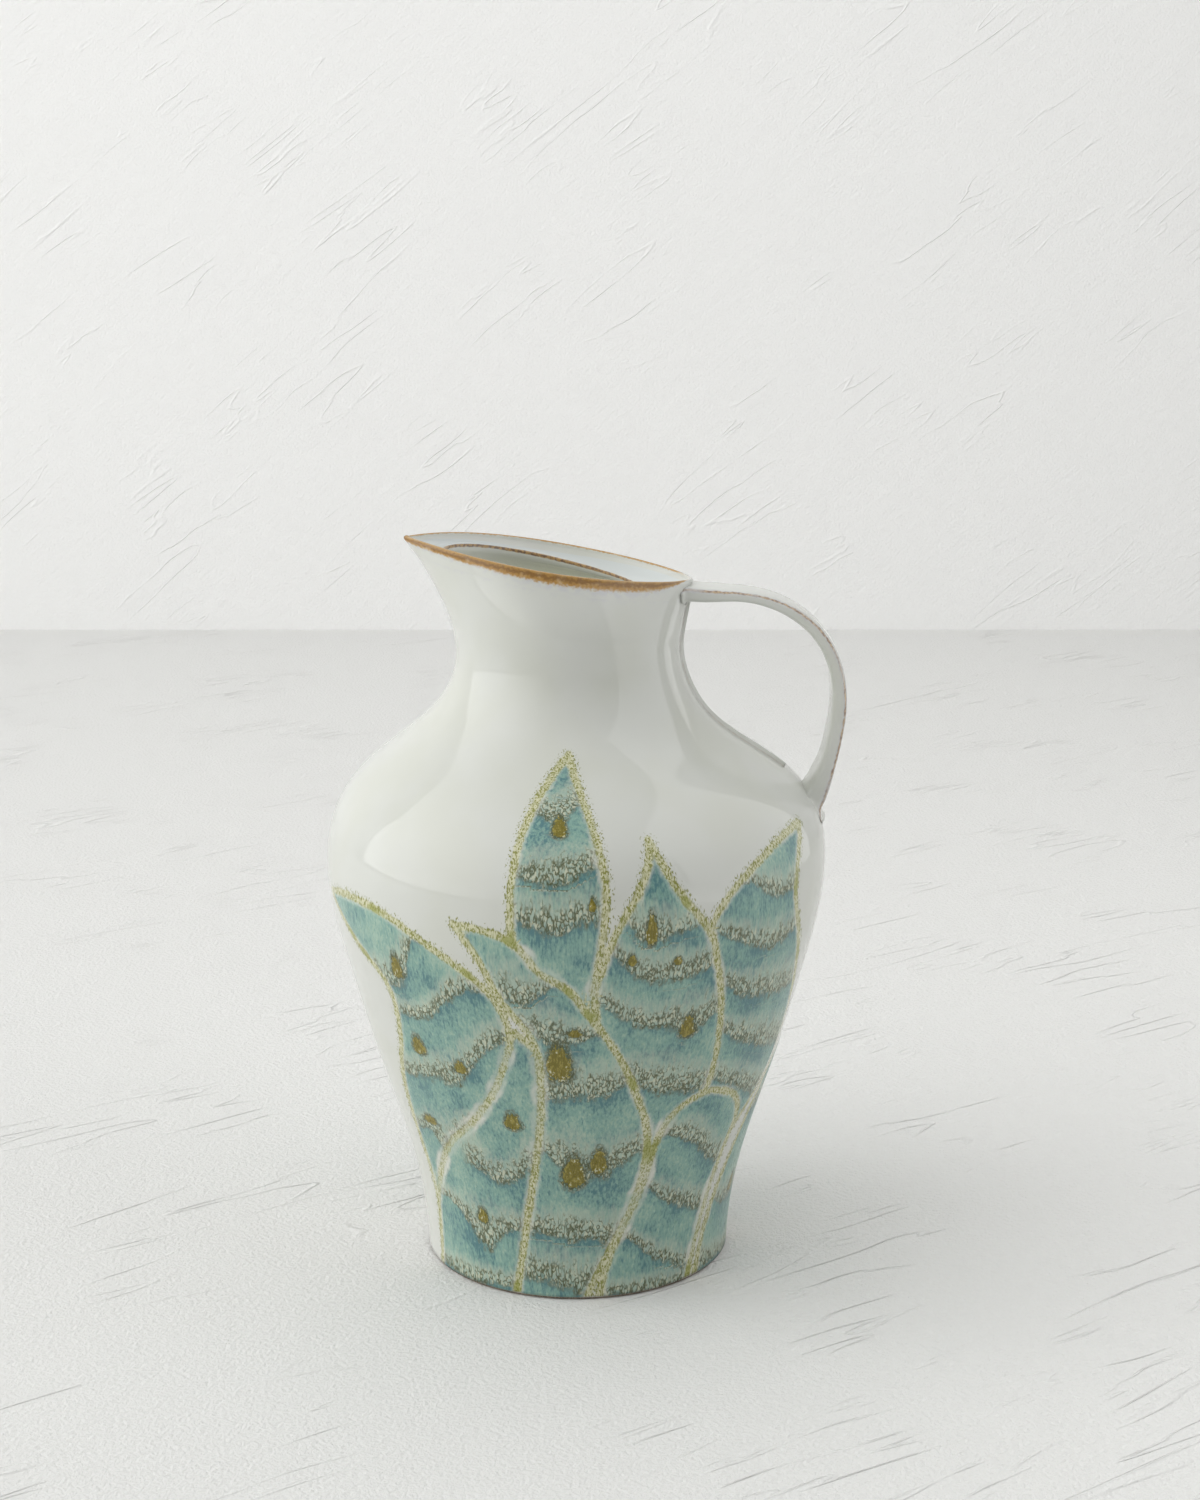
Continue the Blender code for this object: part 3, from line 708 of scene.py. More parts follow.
# Front to back. Sides: (degrees, mm). Bands: (degrees, bottom mm, height mm).
# Drips: (degrees, middle mm, half width mm, half height mm).
# Pools of olive and thin washes: (degrees, mm, reach mm).
LEAVES = [
    Leaf(
        left=[(-27, 186), (-21.5, 172), (-16.8, 153), (-10.6, 136), (-8.7, 114), (-9.8, 90), (-13, 63),
            (-17.5, 34), (-22.5, 0)],
        right=[(-27, 186), (-19, 184.5), (-13, 180), (-7.2, 167), (-3, 162), (2, 151), (5.6, 141),
            (12.3, 121), (17.6, 100), (21.2, 82), (21.6, 68), (18.6, 45), (13.2, 28), (3.5, 0)],
        bands=[
            [(-14, 152, 16), (-11, 151, 14), (-8, 156, 9), (-5, 161, 4)],
            [(-10, 139, 9), (-6, 133, 16), (-3, 132, 14), (1, 134, 9), (5, 137, 7)],
            [(-6, 105, 10), (-1, 106, 15), (6, 106, 14), (10, 108, 12), (13, 112, 8)],
            [(-9, 76, 9), (-4, 68, 16), (-1, 60, 22), (2, 61, 20), (6, 64, 15), (9, 62, 17),
                (13, 68, 15), (19, 75, 10)],
            [(-14, 33, 11), (-8, 32, 12), (-2, 30, 13), (4, 31, 12), (8, 30, 12), (12, 27, 15)],
            [(-16, 10, 13), (-8, 8, 14), (-3, 5, 15), (3, 4, 14), (8, 6, 14)],
        ],
        drips=[(-4, 121, 4.6, 7.0), (0, 138, 2.6, 1.6), (-0.6, 64, 4.0, 6.5), (7, 70, 3.2, 5.0)],
        pools=[(-1.5, 158, 6), (2.8, 146, 6), (-14, 181, 7), (21.8, 76, 11), (15, 112, 6), (-23, 4, 6)],
        washes=[(-12, 122, 7), (-12.5, 108, 8), (-13, 94, 7), (-14.5, 78, 6), (19.5, 50, 8),
            (17, 38, 7), (-9, 142, 6)],
    ),
    Leaf(
        left=[(39, 101), (32.5, 98), (27, 90.5), (24.3, 80), (23, 68), (21, 52), (14, 28), (8, 0)],
        right=[(39, 101), (46, 97.5), (52, 91.5), (55.5, 83), (55, 68), (53.3, 54), (51.5, 38),
            (49.2, 20), (45.5, 0)],
        bands=[
            [(26, 82, 6), (31, 80, 8), (36, 76, 11), (41, 70, 12), (46, 63, 12), (51, 59, 10)],
            [(23, 57, 5), (28, 49, 8), (33, 44, 9), (39, 40, 10), (46, 36, 10), (50, 34, 9)],
            [(19, 29, 5), (25, 21, 7), (31, 15, 8), (37, 12, 9), (43, 8, 8)],
            [(12, 2, 6), (25, 1, 7), (42, 0, 7)],
        ],
        pools=[(46, 3, 9), (30, 86, 5)],
        washes=[(26, 88, 6), (47, 28, 8), (45, 17, 6), (50, 44, 7), (24, 62, 6)],
    ),
    Leaf(
        left=[(-14.5, 138), (-17, 125), (-20.5, 110), (-26, 96), (-31.5, 86), (-39, 76), (-47, 62),
            (-53, 49), (-58, 36), (-60.5, 20), (-62, 0)],
        right=[(-14.5, 138), (-10, 130), (-8, 110), (-9, 80), (-14, 40), (-20, 0)],
        bands=[
            [(-31, 63, 16), (-27, 58, 12), (-22, 57, 11), (-17, 61, 12), (-15, 66, 14)],
            [(-50, 40, 6), (-44, 36, 8), (-39, 27, 15), (-35, 20, 20), (-31, 21, 19), (-27, 29, 11),
                (-22, 33, 9)],
            [(-60, 3, 6), (-40, 2, 8), (-24, 4, 6)],
        ],
        drips=[(-17.5, 90.5, 3.0, 3.4), (-34, 36, 2.4, 3.0)],
        pools=[(-25, 3, 5)],
        washes=[(-17, 124, 6), (-21, 109, 7), (-27, 94, 7), (-33, 84, 7), (-41, 73, 8), (-48, 60, 9),
            (-54, 45, 8)],
    ),
    Leaf(
        left=[(-74, 180), (-67, 172), (-58, 161), (-50.5, 150), (-49, 138), (-51, 120), (-54, 108),
            (-57, 92), (-58.5, 75), (-58.5, 58), (-58.5, 42), (-59, 20), (-60, 0)],
        right=[(-74, 180), (-66, 183.5), (-57, 185), (-48, 184), (-40.5, 180), (-33, 173.5), (-26, 166),
            (-20.5, 158), (-16.8, 146), (-15, 130), (-14, 100)],
        bands=[
            [(-50, 150, 10), (-47, 149, 13), (-44, 151, 14), (-42, 156, 16), (-40, 166, 14),
                (-38, 176, 8)],
            [(-47, 136, 6), (-41, 136, 7), (-36, 139, 8), (-32, 146, 9), (-29, 151, 10), (-25, 156, 7)],
            [(-50, 104, 8), (-45, 105, 9), (-39, 107, 11), (-33, 105, 14), (-30, 109, 15),
                (-26, 119, 12), (-22, 127, 11), (-17, 133, 9)],
            [(-54, 74, 7), (-49, 77, 8), (-45, 66, 16), (-41, 64, 18), (-37, 76, 11), (-32, 86, 6)],
        ],
        drips=[(-43.5, 120.5, 3.2, 3.4), (-30.5, 115, 2.6, 2.4), (-48, 81, 4.0, 1.8),
            (-42.5, 67, 2.6, 3.4), (-44.5, 158, 2.8, 4.5)],
        pools=[(-57, 160, 8), (-24, 164, 7), (-62, 168, 7), (-50, 183, 8)],
    ),
    Leaf(
        left=[(0.5, 251), (-7, 240), (-11.8, 226), (-13.7, 208), (-13.8, 192), (-12.5, 175), (-8, 155),
            (0, 130)],
        right=[(0.5, 251), (3.8, 236), (6, 218), (6.8, 200), (6.1, 184), (5, 168), (4.3, 156), (5, 145),
            (4, 125)],
        bands=[
            [(-9, 231, 6), (-5, 229, 8), (-1, 230, 8), (2, 234, 7)],
            [(-11, 208, 8), (-7, 205, 12), (-2, 206, 12), (1, 209, 9), (4, 213, 8)],
            [(-12, 190, 10), (-7, 186, 13), (-3, 186, 12), (1, 189, 12), (5, 190, 13)],
        ],
        drips=[(-3, 226, 2.6, 2.8), (3.8, 197, 1.2, 2.4)],
        washes=[(-9, 177, 5), (-4, 168, 5), (2.6, 216, 4), (3.5, 160, 5)],
    ),
    Leaf(
        left=[(18, 222), (15.6, 209), (12, 196), (8.8, 185), (7, 175), (4, 155), (4, 120)],
        right=[(18, 222), (20.6, 209), (25, 195.5), (30, 183), (33.4, 165), (35.9, 149), (37.6, 130),
            (38.2, 112), (36, 92), (30, 60)],
        bands=[
            [(11, 190, 7), (15, 180, 15), (18, 179, 14), (22, 183, 9), (26, 184, 7), (30, 186, 6)],
            [(8, 176, 8), (12, 168, 9), (15, 163, 10), (20, 161, 12), (26, 161, 12), (31, 165, 8)],
            [(6, 153, 9), (10, 146, 9), (14, 141, 10), (19, 139, 10), (24, 138, 12), (27, 132, 17),
                (30, 134, 15), (35, 142, 10)],
            [(13, 117, 8), (17, 110, 13), (22, 105, 16), (28, 104, 15), (34, 103, 13), (38, 103, 10)],
        ],
        drips=[(16.6, 184, 2.2, 5.0), (27.6, 136, 3.0, 4.2), (12.5, 172, 1.8, 2.0),
            (23, 170, 1.8, 1.6)],
        pools=[(24, 196, 5)],
    ),
    Leaf(
        left=[(66, 215), (57, 213.5), (48, 209), (38, 200), (31.5, 187), (28, 170), (28, 130), (36, 80),
            (46, 50)],
        right=[(66, 215), (61.5, 207), (58.4, 196), (57.8, 187), (61, 171), (65, 154), (69, 136),
            (71.5, 120), (71.5, 106), (68, 93), (62, 83), (55, 70), (50, 50)],
        bands=[
            [(42, 199, 5), (46, 193, 8), (50, 189, 10), (56, 190, 9)],
            [(33, 180, 6), (38, 175, 7), (43, 170, 9), (49, 166, 11), (55, 168, 9), (59, 171, 7)],
            [(36, 155, 7), (41, 148, 9), (47, 144, 12), (54, 141, 13), (60, 140, 13), (65, 141, 10)],
            [(38, 131, 7), (43, 125, 9), (48, 121, 11), (55, 116, 12), (62, 112, 13), (69, 110, 12)],
            [(39, 107, 7), (44, 102, 9), (50, 98, 10), (56, 92, 11), (63, 87, 12), (69, 86, 9)],
        ],
        pools=[(64.5, 156, 9), (68.5, 138, 9), (58, 190, 8)],
    ),
    Leaf(
        left=[(83, 110), (77, 104), (70, 90), (62, 60), (54, 25), (50, 0)],
        right=[(83, 110), (89, 96), (92.5, 75), (92, 50), (89.5, 25), (88, 0)],
        bands=[
            [(60, 74, 10), (67, 76, 9), (75, 78, 9), (83, 80, 9), (91, 76, 8)],
            [(54, 40, 8), (62, 32, 9), (70, 30, 10), (80, 33, 10), (90, 38, 8)],
            [(50, 3, 10), (60, 3, 8), (75, 2, 7), (90, 3, 6)],
        ],
        drips=[(64, 78, 3.0, 2.0), (72, 36, 2.4, 3.4)],
        pools=[(64, 80, 8), (89, 40, 9)],
    ),
]


def as_painted(point):
    return point


def turned_round(point):
    """The same leaves painted on the far side: mirrored, a little lower and closer set."""
    degrees, height = point
    lean = 5.0 * math.sin(height / 55.0)
    return 181.0 - 0.92 * degrees + lean, height * (0.94 + 0.05 * math.cos(math.radians(2.2 * degrees)))


class Painting:
    """Leaves laid out by a rule, and the numbers that the glaze needs at any point."""

    def __init__(self, layout, mirrored):
        self.outlines = []
        self.layout = layout
        for leaf in LEAVES:
            sides = [leaf.left, leaf.right]
            left, right = [smooth_line([layout(p) for p in side], 160) for side in sides]
            if mirrored:
                left, right = right, left
            self.outlines.append(np.concatenate([left, right[::-1]]))
        self.find_lines()

    def within(self, index, places):
        """Which places lie inside one leaf's outline."""
        outline = self.outlines[index]
        x, z = places[:, 0], places[:, 1]
        inside = np.zeros(len(places), bool)
        for (x1, z1), (x2, z2) in zip(outline, np.roll(outline, -1, axis=0)):
            if z1 == z2:
                continue
            crosses = (z1 > z) != (z2 > z)
            inside ^= crosses & (x < (x2 - x1) * (z - z1) / (z2 - z1) + x1)
        return inside

    def find_lines(self):
        """Keeps the points of each outline that no leaf in front of it covers."""
        places = []
        owners = []
        for index, outline in enumerate(self.outlines):
            half = len(outline) // 2
            line = [outline[:half], outline[half:][::-1]]
            dense = np.concatenate([smooth_line(side, 700) for side in line])
            covered = np.zeros(len(dense), bool)
            for front in range(index):
                covered |= self.within(front, dense)
            keep = dense[~covered & (dense[:, 1] > 1.0)]
            places.append(keep)
            owners.append(np.full(len(keep), index))
        self.line_owner = np.concatenate(owners)
        places = np.concatenate(places)
        points = wall_points(places[:, 0], places[:, 1] * MM)
        self.tree = KDTree(len(points))
        for i, point in enumerate(points):
            self.tree.insert(point, i)
        self.tree.balance()

    def numbers(self, places, points):
        """The glaze's numbers at places (degrees, mm) whose points on the wall are given."""
        owner = np.full(len(places), -1)
        for index in reversed(range(len(LEAVES))):
            owner[self.within(index, places)] = index
        reach = np.empty(len(places))
        nearest = np.empty(len(places), int)
        for i, point in enumerate(points):
            spot, found, distance = self.tree.find(point)
            reach[i] = distance / MM
            nearest[i] = self.line_owner[found]
        edge = np.where(owner >= 0, reach, -reach)
        line = np.where(owner == nearest, reach, -reach)
        band, gate, deep = self.band_numbers(places, owner)
        return {
            "edge": edge,
            "line": line,
            "band": band,
            "gate": gate,
            "deep": deep,
            "drip": self.drip_number(places, owner),
            "olive": self.spot_number(places, [leaf.pools for leaf in LEAVES]),
            "wash": self.spot_number(places, [leaf.washes for leaf in LEAVES]),
        }

    def band_numbers(self, places, owner):
        band = np.full(len(places), -3.0)
        gate = np.zeros(len(places))
        deep = np.zeros(len(places))
        for index, leaf in enumerate(LEAVES):
            mine = owner == index
            for points in leaf.bands:
                tops = [self.layout((x, low + tall))[1] for x, low, tall in points]
                laid = np.array(sorted((*self.layout(p[:2]), top) for p, top in zip(points, tops)))
                spread = laid[-1, 0] - laid[0, 0]
                x = places[:, 0]
                beyond = np.maximum(laid[0, 0] - x, x - laid[-1, 0])
                low = np.interp(x, laid[:, 0], laid[:, 1])
                tall = np.interp(x, laid[:, 0], laid[:, 2]) - low
                rise = places[:, 1] - low
                share = rise / tall
                near = smoothstep(-5.0, -1.0, rise) * (1 - smoothstep(1.2, 1.7, share))
                near *= 1 - smoothstep(2.0, 8.0, beyond)
                chosen = mine & (near > gate)
                band = np.where(chosen, share, band)
                gate = np.where(chosen, near, gate)
                below = np.where(rise < 0, np.exp(rise / 9.0), np.clip(1 - rise / 5.0, 0, 1))
                below *= 1 - smoothstep(0.0, 0.5 * spread + 6.0, beyond)
                deep = np.where(mine, np.maximum(deep, below), deep)
            tip = self.layout(leaf.left[0])
            away = np.hypot(np.radians(places[:, 0] - tip[0]) * 105.0, places[:, 1] - tip[1] + 9.0)
            deep = np.where(mine, np.maximum(deep, np.exp(-(away / 14.0) ** 2)), deep)
        return band, gate, deep

    def drip_number(self, places, owner):
        drip = np.full(len(places), -1.0)
        for index, leaf in enumerate(LEAVES):
            for x, z, wide, tall in leaf.drips:
                x, z = self.layout((x, z))
                across = np.radians(places[:, 0] - x) * belly_radius(z)
                along = places[:, 1] - z
                narrowing = 1.0 - 0.18 * np.clip(along / tall, -1.0, 1.0)
                along = np.where(along > 0.0, along / 1.9, along)
                here = 1.0 - np.sqrt((across / (1.40 * wide * narrowing)) ** 2 + (along / tall) ** 2)
                drip = np.where(owner == index, np.maximum(drip, here), drip)
        return np.clip(drip, -1.0, 1.0)

    def spot_number(self, places, spots):
        """1 at the middle of a spot (degrees, mm, reach mm), fading to 0 beyond its reach."""
        number = np.zeros(len(places))
        for x, z, reach in sum((list(some) for some in spots), []):
            x, z = self.layout((x, z))
            across = np.radians(places[:, 0] - x) * belly_radius(z)
            distance = np.hypot(across, places[:, 1] - z)
            number = np.maximum(number, np.exp(-(distance / reach) ** 2))
        return number


LEAF_STEP = 1.3
LEAF_MARGIN = 6.5
LEAF_BURIED = 0.0004
LEAF_TOP_Z = 0.262
FRONT_SPAN = (-84.0, 97.0)
BACK_SPAN = (92.0, 266.0)


def leaf_relief(edge):
    """How far the painted glaze stands off the wall, in metres, at a distance from its edge."""
    height = 0.26 * smoothstep(-0.5, 5.0, edge) + 0.035 * smoothstep(-5.2, -1.0, edge)
    return (height - 0.10 * (1 - smoothstep(-6.5, -4.6, edge))) * MM


def make_leaves(name, painting, from_degrees, to_degrees, material):
    """A thin closed skin of glaze over the painted part of the wall."""
    across = int((to_degrees - from_degrees) / math.degrees(LEAF_STEP / 112.0))
    degrees = np.linspace(from_degrees, to_degrees, across)
    heights = np.arange(GLAZE_FOOT[0] + 0.0002, LEAF_TOP_Z, LEAF_STEP * MM)
    grid = wall_grid(degrees, heights)
    rows, columns = grid.shape[:2]
    places = np.stack(np.meshgrid(degrees, heights / MM), axis=-1).reshape(-1, 2)
    points = grid.reshape(-1, 3)
    values = painting.numbers(places, points)
    edge = values["edge"].reshape(rows, columns)
    near = edge > -LEAF_MARGIN
    quads = near[:-1, :-1] | near[1:, :-1] | near[:-1, 1:] | near[1:, 1:]
    normals = unit_normals(np.gradient(grid, axis=1), np.gradient(grid, axis=0))
    top = grid + normals * leaf_relief(edge)[..., None]
    bottom = grid - normals * LEAF_BURIED
    used = np.zeros((rows, columns), bool)
    for i, j in ((0, 0), (1, 0), (0, 1), (1, 1)):
        used[i:rows - 1 + i, j:columns - 1 + j] |= quads
    index = np.cumsum(used.ravel()).reshape(rows, columns) - 1
    count = int(used.sum())
    faces = []
    sides = {}
    for i, j in zip(*np.nonzero(quads)):
        a, b, c, d = index[i, j], index[i, j + 1], index[i + 1, j + 1], index[i + 1, j]
        a, b, c, d = int(a), int(b), int(c), int(d)
        faces.append((a, b, c, d))
        faces.append((a + count, d + count, c + count, b + count))
        for start, end in ((a, b), (b, c), (c, d), (d, a)):
            if (end, start) in sides:
                del sides[(end, start)]
            else:
                sides[(start, end)] = True
    faces += [(end, start, start + count, end + count) for start, end in sides]
    vertices = np.concatenate([top[used], bottom[used]])
    kept = {label: np.tile(numbers.reshape(rows, columns)[used], 2) for label, numbers in values.items()}
    return new_piece(name, vertices, faces, material, kept)


# ---------------------------------------------------------------- rim glaze
RIM_SKIN_DROP = 0.0085
RIM_SKIN_INSIDE = 0.0030
RIM_SKIN = 0.00012
RIM_BURIED = 0.0004
RIM_OUTER_ROWS = 14
RIM_LIP_ROWS = 9


def make_rim():
    """A skin of glaze from below the rim, over the lip and a little way inside."""
    turns = np.linspace(0.0, math.tau, COLUMNS * 2, endpoint=False)
    crest = rim_ring(turns)
    outer = wall_columns(turns, 1400)
    rings = []
    for drop in np.linspace(RIM_SKIN_DROP, LIP_ROUND * 1.3, RIM_OUTER_ROWS):
        rings.append([at_heights(outer[:, j], crest[j, 2] - drop) for j in range(len(turns))])
    for bow in np.linspace(0.0, math.pi, RIM_LIP_ROWS):
        rings.append(lip_ring(crest, bow))
    edge = opening_ring(turns)
    inner = inward(crest, 2 * LIP_ROUND, LIP_ROUND)
    wide = np.linalg.norm((edge - inner)[:, :2], axis=1, keepdims=True)
    for step in np.linspace(0.0, 1.0, 6)[1:]:
        share = np.minimum(step * RIM_SKIN_INSIDE / wide, 0.9)
        ring = inner + (edge - inner) * share
        ring[:, 2] -= ledge_dip(share[:, 0])
        rings.append(ring)
    rings = np.array(rings)
    along = np.roll(rings, -1, axis=1) - np.roll(rings, 1, axis=1)
    normals = unit_normals(along, np.gradient(rings, axis=0))
    rows = len(rings)
    fade = np.sin(math.pi * np.linspace(0.0, 1.0, rows)) ** 0.5
    offset = (RIM_SKIN * (1.6 * fade - 0.6))[:, None, None]
    top = rings + normals * offset
    bottom = rings - normals * RIM_BURIED
    vertices = np.concatenate([top, bottom[::-1]])
    columns = len(turns)
    faces = ring_faces(2 * rows, columns)
    last = (2 * rows - 1) * columns
    for j in range(columns):
        k = (j + 1) % columns
        faces.append((last + j, last + k, k, j))
    crest_row = RIM_OUTER_ROWS + RIM_LIP_ROWS // 2
    travelled = travelled_mm(rings)
    drop = travelled[crest_row] - travelled
    front = np.clip(-np.sin(turns), 0.0, 1.0)
    reach = 3.1 + 2.9 * front * (1 - 0.45 * np.clip(-np.cos(turns), 0, 1))
    reach = reach * (0.15 + 0.85 * smoothstep(0.10, 0.42, np.abs(np.sin(turns / 2))))
    reach = np.tile(reach, (rows, 1))
    numbers = {"drop": drop, "reach": reach}
    values = {label: np.concatenate([part, part[::-1]]) for label, part in numbers.items()}
    return new_piece("rim_glaze", vertices, faces, rim_material(), values)


# ---------------------------------------------------------------- handle
def strap_section(width, thickness, count):
    """A flat oval section with softened corners, as (sideways, outwards) pairs."""
    turn = np.linspace(0.0, math.tau, count, endpoint=False)
    side = np.sign(np.cos(turn)) * np.abs(np.cos(turn)) ** 0.42
    out = np.sign(np.sin(turn)) * np.abs(np.sin(turn)) ** 0.62
    return side * width / 2, out * thickness / 2, turn


def make_handle(body_tree):
    line = smooth_line(STRAP_LINE, 150)
    middle = np.stack([AXIS_X + line[:, 0], np.zeros(len(line)), line[:, 1]], axis=-1)
    along = np.gradient(middle, axis=0)
    along /= np.linalg.norm(along, axis=1, keepdims=True)
    outward = np.stack([-along[:, 2], np.zeros(len(line)), along[:, 0]], axis=-1)
    count = 96
    rings = []
    arrises = []
    for place, normal, thickness in zip(middle, outward, line[:, 2]):
        side, out, turn = strap_section(STRAP_WIDTH, thickness, count)
        rings.append(place + np.outer(out, normal) + np.outer(side, [0.0, 1.0, 0.0]))
        arrises.append(np.exp(-((np.abs(np.sin(turn)) - 0.52) / 0.30) ** 2) * (np.sin(turn) > 0))
    rings = np.array(rings)
    rows = len(rings)
    for i, ring in enumerate(rings):
        for k, point in enumerate(ring):
            spot, normal, _, distance = body_tree.find_nearest(Vector(point))
            gap = distance * (1 if (Vector(point) - spot).dot(normal) > 0 else -1)
            share = min(max(1 - gap / FILLET, 0.0), 1.0)
            share *= min(max(1 + gap / 0.0015, 0.0), 1.0)
            away = point - middle[i]
            away /= max(np.linalg.norm(away), 1e-6)
            level = 1.0 - 0.9 * smoothstep(0.0, 0.5, away[2]) * (i < rows / 2)
            spread = FILLET * (1 - math.sqrt(1 - share ** 2)) * 0.8 * level
            sink = share ** 1.5 * (max(gap, 0.0) + 0.0005) * level
            ring[k] = point + away * spread - np.array(normal) * sink
    material = strap_material("handle_glaze", "arris", 1.0)
    return new_piece("handle", rings, tube_faces(rows, count), material, {"arris": arrises})


# Half the width of the ridge's mesh. Its outer part lies just under the wall's surface.
WEB_SKIRT = 0.0062
WEB_HEIGHT = 0.0016
WEB_BURIED = 0.0012
WEB_Z = (0.2290, 0.3060)


def make_web():
    """A narrow ridge down the neck and shoulder between the strap's two roots."""
    heights = np.linspace(*WEB_Z, 90)
    shares = np.linspace(-1.0, 1.0, 25)
    spine = at_heights(wall_columns(np.array([0.0]), 900)[:, 0], heights)
    radius = spine[:, 0] - neck_centre(heights)
    turns = np.degrees(np.arcsin(np.outer(1 / radius, shares * WEB_SKIRT)))
    columns = [wall_points(turn + HANDLE_DEGREES, heights) for turn in turns.T]
    grid = np.stack(columns, axis=1)
    normals = unit_normals(np.gradient(grid, axis=1), np.gradient(grid, axis=0))
    bow = np.cos(math.pi / 2 * shares) ** 5
    height = (WEB_HEIGHT * bow - 0.0001 * (1 - bow))[None, :, None]
    top = grid + normals * height
    bottom = grid - normals * WEB_BURIED
    rows, wide = grid.shape[:2]
    loop = np.concatenate([top, bottom[:, ::-1]], axis=1)
    flank = np.exp(-((np.abs(shares) - 0.48) / 0.14) ** 2)
    flank = np.tile(np.concatenate([flank, flank[::-1]]), (rows, 1))
    material = strap_material("web_glaze", "flank", 0.35)
    return new_piece("handle_web", loop, tube_faces(rows, 2 * wide), material, {"flank": flank})


# ---------------------------------------------------------------- foot
def foot_group():
    """Geometry Nodes: a rounded bar swept round a circle, standing on the table."""
    group = bpy.data.node_groups.new("foot_sweep", "GeometryNodeTree")
    sizes = ("Radius", "Width", "Height", "Corner")
    for label in sizes:
        group.interface.new_socket(label, in_out="INPUT", socket_type="NodeSocketFloat")
    group.interface.new_socket("Glaze", in_out="INPUT", socket_type="NodeSocketMaterial")
    group.interface.new_socket("Mesh", in_out="OUTPUT", socket_type="NodeSocketGeometry")
    tree = Tree(group)
    given = [tree.add("NodeGroupInput", output=label) for label in (*sizes, "Glaze")]
    radius, width, height, corner, glaze = given
    path = tree.add("GeometryNodeCurvePrimitiveCircle", {}, {"Resolution": 160, "Radius": radius})
    inputs = {"Width": width, "Height": height}
    bar = tree.add("GeometryNodeCurvePrimitiveQuadrilateral", {}, inputs)
    inputs = {"Curve": bar, "Radius": corner, "Count": 4}
    bar = tree.add("GeometryNodeFilletCurve", {"mode": "POLY"}, inputs)
    swept = tree.add("GeometryNodeCurveToMesh", {}, {"Curve": path, "Profile Curve": bar})
    swept = tree.add("GeometryNodeRealizeInstances", {}, {"Geometry": swept})
    swept = tree.add("GeometryNodeSetMaterial", {}, {"Geometry": swept, "Material": glaze})
    tree.add("NodeGroupOutput", {}, {"Mesh": swept})
    return group


def grown(name, group, numbers):
    """A plain mesh piece from a Geometry Nodes group whose inputs are set by name."""
    seed = bpy.data.objects.new(name + "_seed", bpy.data.meshes.new(name + "_seed"))
    bpy.context.scene.collection.objects.link(seed)
    modifier = seed.modifiers.new("shape", "NODES")
    modifier.node_group = group
    for item in group.interface.items_tree:
        if item.in_out == "INPUT" and item.name in numbers:
            modifier[item.identifier] = numbers[item.name]
    shape = seed.evaluated_get(bpy.context.evaluated_depsgraph_get())
    mesh = bpy.data.meshes.new_from_object(shape)
    bpy.data.objects.remove(seed)
    mesh.shade_smooth()
    piece = bpy.data.objects.new(name, mesh)
    bpy.context.scene.collection.objects.link(piece)
    return piece


FOOT_BAR = 0.0110
FOOT_CORNER = 0.0009
FOOT_GAP = 0.0003


def make_foot(material):
    """The bare clay foot that the body stands on."""
    height = BODY_BASE + FOOT_GAP
    numbers = {"Radius": FOOT_RADIUS - FOOT_BAR / 2, "Width": FOOT_BAR, "Height": height}
    numbers.update({"Corner": FOOT_CORNER, "Glaze": material})
    foot = grown("foot_ring", foot_group(), numbers)
    for vertex in foot.data.vertices:
        vertex.co.x += AXIS_X
        vertex.co.z += height / 2
    return foot


# ---------------------------------------------------------------- stage, lights, camera
WALL_Y = 1.447
WALL_TOP = 3.0
STAGE_HALF = 4.0
CAMERA_PLACE = (AXIS_X + 0.0107, -1.1874, 0.5311)
CAMERA_TILT = math.radians(76.06)
CAMERA_LENS = 65.0
WALL_PLASTER = (0.910, 0.910, 0.902)
FLOOR_PLASTER = (0.715, 0.715, 0.703)


def plaster_material(name, colour, grit_height, ridge_height, slant):
    """Trowelled plaster: soft swirls, fine grit, and thin ridges that climb to the right."""
    material, tree = new_material(name)
    spot = tree.place()
    inputs = {"Vector": spot, "Rotation": slant, "Scale": (7.0, 1.0, 1.0)}
    along = tree.add("ShaderNodeMapping", {"vector_type": "TEXTURE"}, inputs)
    ridge = tree.noise(along, 24.0, 2.0, 0.5, 0.5).near(0.5, 0.018)
    patchy = tree.noise(spot, 90.0, 2.0).above(0.46, 0.66)
    swirl = tree.noise(along, 5.0, 3.0, 0.6, 0.3)
    grit = tree.noise(spot, 2.4, 3.0, 0.65)
    relief = ridge * patchy * ridge_height + swirl * 0.5 + grit * grit_height
    close_material(tree, colour, 0.85, tree.bump(relief, MM))
    return material


def make_stage():
    """Floor and back wall."""
    half = STAGE_HALF
    corners = [(-half, -half, 0), (half, -half, 0), (half, WALL_Y, 0), (-half, WALL_Y, 0)]
    plaster = plaster_material("floor_plaster", FLOOR_PLASTER, 1.1, 0.9, (0.0, 0.0, math.radians(36)))
    floor = new_piece("floor", corners, [(0, 1, 2, 3)], plaster)
    corners = [(-half, WALL_Y, 0), (half, WALL_Y, 0), (half, WALL_Y, WALL_TOP), (-half, WALL_Y, WALL_TOP)]
    plaster = plaster_material("wall_plaster", WALL_PLASTER, 0.7, 0.5, (0.0, math.radians(-38), 0.0))
    wall = new_piece("backdrop", corners, [(0, 1, 2, 3)], plaster)


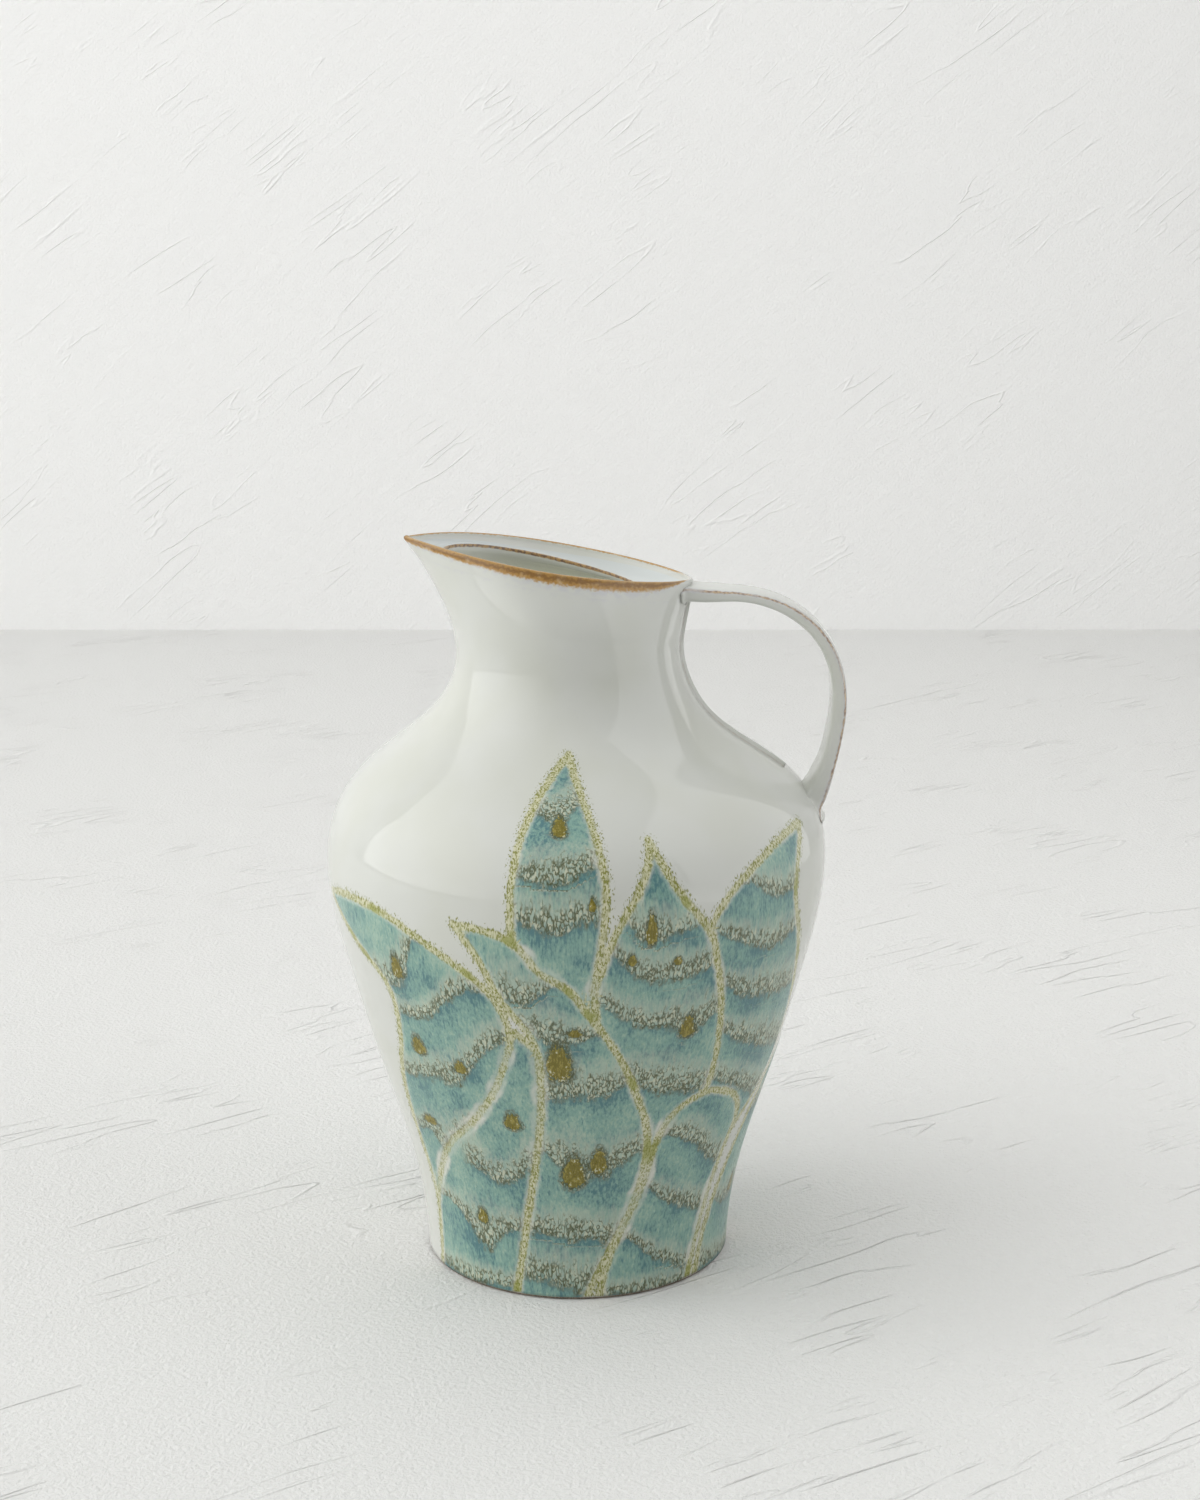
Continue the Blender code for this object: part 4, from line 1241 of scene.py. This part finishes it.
def area_light(name, place, aim, size, power):
    data = bpy.data.lights.new(name, "AREA")
    data.shape = "RECTANGLE"
    data.size, data.size_y = size
    data.energy = power
    light = bpy.data.objects.new(name, data)
    light.location = place
    light.rotation_euler = (Vector(aim) - Vector(place)).to_track_quat("-Z", "Y").to_euler()
    bpy.context.scene.collection.objects.link(light)
    return light


def room_light():
    """The room seen in the glaze: bright to the left, dim behind the camera."""
    world = bpy.data.worlds.new("room")
    world.use_nodes = True
    tree = Tree(world.node_tree)
    world.node_tree.nodes.clear()
    look = tree.add("ShaderNodeTexCoord", output="Generated")
    x, y, z = [tree.add("ShaderNodeSeparateXYZ", {}, {0: look}, axis) for axis in "XYZ"]
    left = (0 - x).above(0.15, 0.95)
    up = z.above(0.05, 0.9)
    behind = (0 - y).above(0.1, 0.8)
    strength = 0.37 + left * 1.58 + up * 0.22 - behind * 0.17
    shade = tree.add("ShaderNodeBackground", {}, {"Color": (1.0, 1.0, 0.985, 1.0), "Strength": strength})
    tree.add("ShaderNodeOutputWorld", {}, {"Surface": shade})
    bpy.context.scene.world = world


def light_studio():
    room_light()
    middle = (AXIS_X, 0.0, 0.18)
    window = area_light("window", (-1.9, -0.5, 0.95), middle, (2.2, 1.8), 10.0)
    ceiling = area_light("ceiling", (-0.1, 0.95, 1.9), (-0.1, 0.85, 0.0), (2.8, 1.6), 9.0)
    skylight = area_light("skylight", (-0.5, -0.8, 2.2), middle, (1.6, 1.2), 4.5)
    fill = area_light("fill", (1.0, -0.24, 0.70), (0.0, -0.1, 0.3), (0.85, 1.38), 4.0)
    wash = area_light("wall_wash", (-1.9, 0.1, 1.0), (-1.0, 1.4, 0.6), (0.9, 1.6), 4.5)
    for light in (window, ceiling, skylight, fill, wash):
        light.visible_glossy = False
    card = area_light("right_card", (1.0, -0.02, 1.31), (0.0, -0.02, 1.31), (1.64, 2.6), 11.0)
    card.visible_diffuse = False
    bounce = bpy.data.lights.new("inside_bounce", "POINT")
    bounce.energy = 0.022
    bounce.shadow_soft_size = 0.020
    bounce = bpy.data.objects.new("inside_bounce", bounce)
    bounce.location = (OPENING_CENTRE_X, -0.008, NECK_Z - 0.010)
    bounce.visible_glossy = False
    bounce.visible_camera = False
    bpy.context.scene.collection.objects.link(bounce)
    bpy.context.scene.view_settings.view_transform = "Standard"
    bpy.context.scene.view_settings.look = "None"


def set_camera():
    data = bpy.data.cameras.new("camera")
    data.lens = CAMERA_LENS
    camera = bpy.data.objects.new("camera", data)
    camera.location = CAMERA_PLACE
    camera.rotation_euler = (CAMERA_TILT, 0.0, 0.0)
    bpy.context.scene.collection.objects.link(camera)
    bpy.context.scene.camera = camera


# ---------------------------------------------------------------- assembly
def build():
    set_camera()
    light_studio()
    make_stage()
    body = make_body()
    finish_piece(body, "body_glaze", "body")
    leaf = leaf_material()
    front = make_leaves("leaves_front", Painting(as_painted, False), *FRONT_SPAN, leaf)
    back = make_leaves("leaves_back", Painting(turned_round, True), *BACK_SPAN, leaf)
    finish_piece(front, "leaf_glaze")
    finish_piece(back, "leaf_glaze")
    finish_piece(make_rim(), "iron_rim_glaze", "rim_glaze")
    body_tree = BVHTree.FromObject(body, bpy.context.evaluated_depsgraph_get())
    finish_piece(make_handle(body_tree), "handle_glaze", "handle", "upper_luting", "lower_luting")
    finish_piece(make_web(), "handle_glaze", "handle_web")
    finish_piece(make_foot(clay_material()), "bare_clay", "foot_ring")


build()
